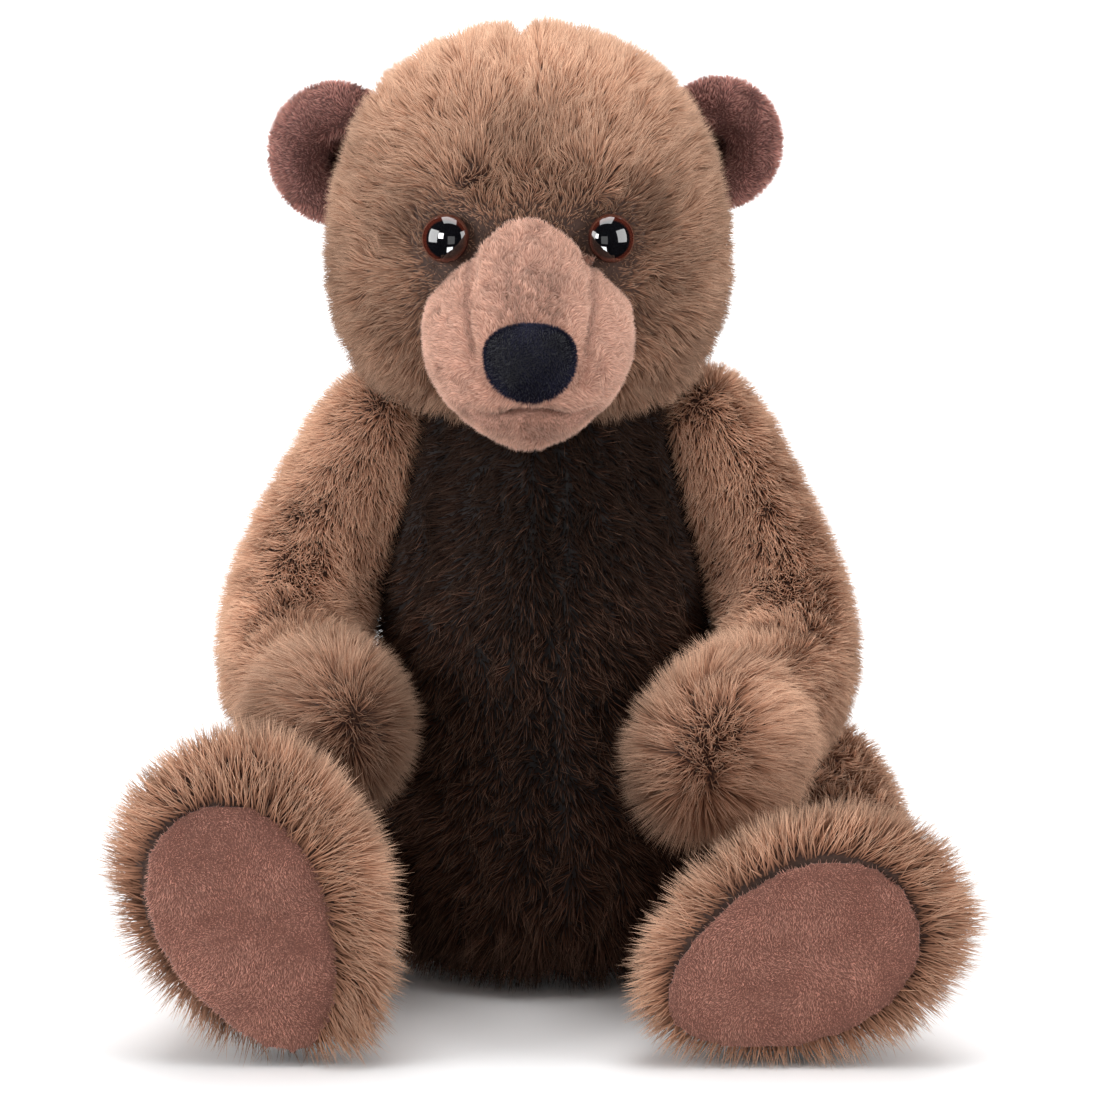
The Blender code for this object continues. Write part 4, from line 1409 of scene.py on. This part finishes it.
LAMPS = (Lamp("left_box", (-1.7, -0.8, 0.65), 1.2, 29.0),
         Lamp("right_box", (1.7, -0.8, 0.65), 1.2, 22.0),
         Lamp("top_box", (0.0, -0.1, 1.9), 1.4, 26.0),
         Lamp("front_fill", (0.0, -2.6, 0.35), 1.2, 4.5),
         Lamp("backdrop", (0.0, 2.2, 2.4), 2.5, 90.0, aim=(0.0, 3.3, 0.4)),
         Lamp("window", (-1.1, -1.5, 0.75), 0.55, 22.0, glint=True),
         Lamp("table", (-0.1, -1.4, -0.60), 0.60, 16.0, glint=True))
WALL_Y, WALL_BEND, SWEEP_HALF, BEND_STEPS = 2.2, 1.5, 6.0, 12


@dataclass
class Studio:
    """A pale seamless sweep, soft lights and the camera."""

    target: Vector = field(default_factory=lambda: Vector((0.0016, 0.0, 0.1326)))
    distance: float = 1.70
    elevation: float = math.radians(8)
    sensor: float = 36.0
    width_seen: float = 0.3465

    def build(self) -> None:
        """Build the sweep, the lights and the camera."""
        self.build_sweep()
        for lamp in LAMPS:
            self.light(lamp)
        world = bpy.data.worlds.new("studio")
        world.use_nodes = True
        sky = world.node_tree.nodes["Background"]
        sky.inputs["Color"].default_value = (1, 1, 1, 1)
        sky.inputs["Strength"].default_value = 0.36
        world.cycles_visibility.glossy = False
        bpy.context.scene.world = world
        bpy.context.scene.view_settings.view_transform = "Standard"
        lens = bpy.data.cameras.new("camera")
        lens.sensor_width = self.sensor
        lens.lens = self.sensor * self.distance / self.width_seen
        lens.clip_start = 0.05
        camera = placed("camera", lens)
        back = Vector((0, -math.cos(self.elevation), math.sin(self.elevation)))
        camera.location = self.target + back * self.distance
        camera.rotation_euler = (-back).to_track_quat("-Z", "Y").to_euler()
        bpy.context.scene.camera = camera

    def build_sweep(self) -> None:
        """Build a floor that curves up into a wall."""
        shape = bmesh.new()
        path = [Vector((-SWEEP_HALF, -4, 0)), Vector((-SWEEP_HALF, WALL_Y, 0))]
        for number in range(1, BEND_STEPS + 1):
            turn = math.pi / 2 * number / BEND_STEPS
            path.append(Vector((-SWEEP_HALF, WALL_Y + WALL_BEND * math.sin(turn),
                                WALL_BEND * (1 - math.cos(turn)))))
        path.append(Vector((-SWEEP_HALF, WALL_Y + WALL_BEND, 5)))
        verts = [shape.verts.new(place) for place in path]
        edges = [shape.edges.new(pair) for pair in zip(verts, verts[1:])]
        wide = bmesh.ops.extrude_edge_only(shape, edges=edges)
        moved = [item for item in wide["geom"] if isinstance(item, bmesh.types.BMVert)]
        bmesh.ops.translate(shape, verts=moved, vec=(2 * SWEEP_HALF, 0, 0))
        bmesh.ops.recalc_face_normals(shape, faces=shape.faces)
        sweep = ClothFinish("paper", (0.86, 0.86, 0.865), (0.845, 0.845, 0.85), 3.0,
                            roughness=0.9, sheen=0.0, bump=0.0)
        floor = add_piece("sweep", shape, sweep)
        floor.visible_glossy = False

    def light(self, lamp: Lamp) -> None:
        """Add one soft area light that looks at the bear or at its aim."""
        data = bpy.data.lights.new(lamp.name, "AREA")
        data.size, data.energy = lamp.size, lamp.power
        lit = placed(lamp.name, data)
        lit.location = lamp.place
        way = (Vector(lamp.aim) if lamp.aim else self.target) - lit.location
        lit.rotation_euler = way.to_track_quat("-Z", "Y").to_euler()
        if lamp.glint:
            lit.visible_diffuse = False


# ------------------------------------------------------------------ the whole bear
PAWS = {Side.RIGHT: (-0.062, -0.078, 0.086), Side.LEFT: (0.048, -0.076, 0.080)}
PAW_HANG = {Side.RIGHT: 0.15, Side.LEFT: 0.45}
EAR_DROP = {Side.RIGHT: 0.0022, Side.LEFT: 0.0}
FOOT_LOWER = {Side.RIGHT: 0.0, Side.LEFT: 0.0060}
PAW_SHADE = {Side.RIGHT: 0.46, Side.LEFT: 0.06}
PAW_SWELL = {Side.RIGHT: 0.0010, Side.LEFT: 0.0065}
FAN_SHIFT = {Side.RIGHT: (-0.004, 0.0, 0.0), Side.LEFT: (0.002, 0.0, 0.010)}


def soft_forms() -> list:
    """List every soft piece of the bear, in building order."""
    joints = [NECK] + [f"{side.word}_{place}" for side in Side for place in ("shoulder", "hip")]
    parts: list = [
        Torso("torso", "torso", "torso_skin", ["torso_stuffing", "bean_bag"],
              {joint: "inner" for joint in joints}, backing=DARK_BACKING,
              replaced=["torso_stuffing"]),
        Head("head", "head", "head_skin", ["head_stuffing"], {NECK: "outer"}, inset=0.0030,
             replaced=["head_stuffing"]),
        Muzzle("muzzle", "head", ["muzzle_skin", "muzzle_stuffing"], MUZZLE_CLOTH, MUZZLE_NAP,
               "muzzle_velour", 0.0018, 3.5e6, 0.0022, 0.00034, 201, lift=0.42, clump=0.0018,
               rounds=15, padded=True),
        Nose("nose_fleece", "head", ["nose"], NOSE_CLOTH, NOSE_NAP, "nose_fleece", 0.0010,
             8.0e6, 0.0014, 0.00028, 211, lift=0.60, clump=0.0015)]
    for side in Side:
        word = side.word
        parts += [
            Ear(f"{word}_ear_velour", "head", [f"{word}_ear"], EAR_CLOTH, EAR_NAP,
                "ear_velour", 0.0012, 4.2e6, 0.0020, 0.00036, 221 + side.value, lift=0.55,
                clump=0.0016, side=side, drop=EAR_DROP[side]),
            Arm(f"{word}_arm", f"{word}_arm", f"{word}_arm_skin", [f"{word}_arm_stuffing"],
                {f"{word}_shoulder": "outer"}, replaced=[f"{word}_arm_stuffing"], side=side,
                inset=0.0040, paw=PAWS[side], hang=PAW_HANG[side],
                fan_shift=FAN_SHIFT[side], swell=PAW_SWELL[side]),
            Leg(f"{word}_leg", f"{word}_leg", f"{word}_leg_skin", [f"{word}_leg_stuffing"],
                {f"{word}_hip": "outer"}, inset=0.0035,
                replaced=[f"{word}_leg_stuffing"], side=side, lower=FOOT_LOWER[side]),
            Sole(f"{word}_sole", f"{word}_leg", [f"{word}_foot_pad"], SOLE_CLOTH, SOLE_NAP,
                 "sole_velour", 0.0015, 4.1e6, 0.0015, 0.00034, 231 + side.value, rounds=5,
                 side=side)]
    return parts


def main() -> None:
    """Build the bear piece by piece, then the studio."""
    logging.basicConfig(level=logging.INFO, format="%(message)s")
    for part in soft_forms():
        part.build()
        LOG.info("%s: %d faces", part.name, len(part.form.data.polygons))
        part.dress()
    for side in Side:
        Eye(side).build()
    Hardware().dress()
    Studio().build()


if __name__ == "__main__":
    main()
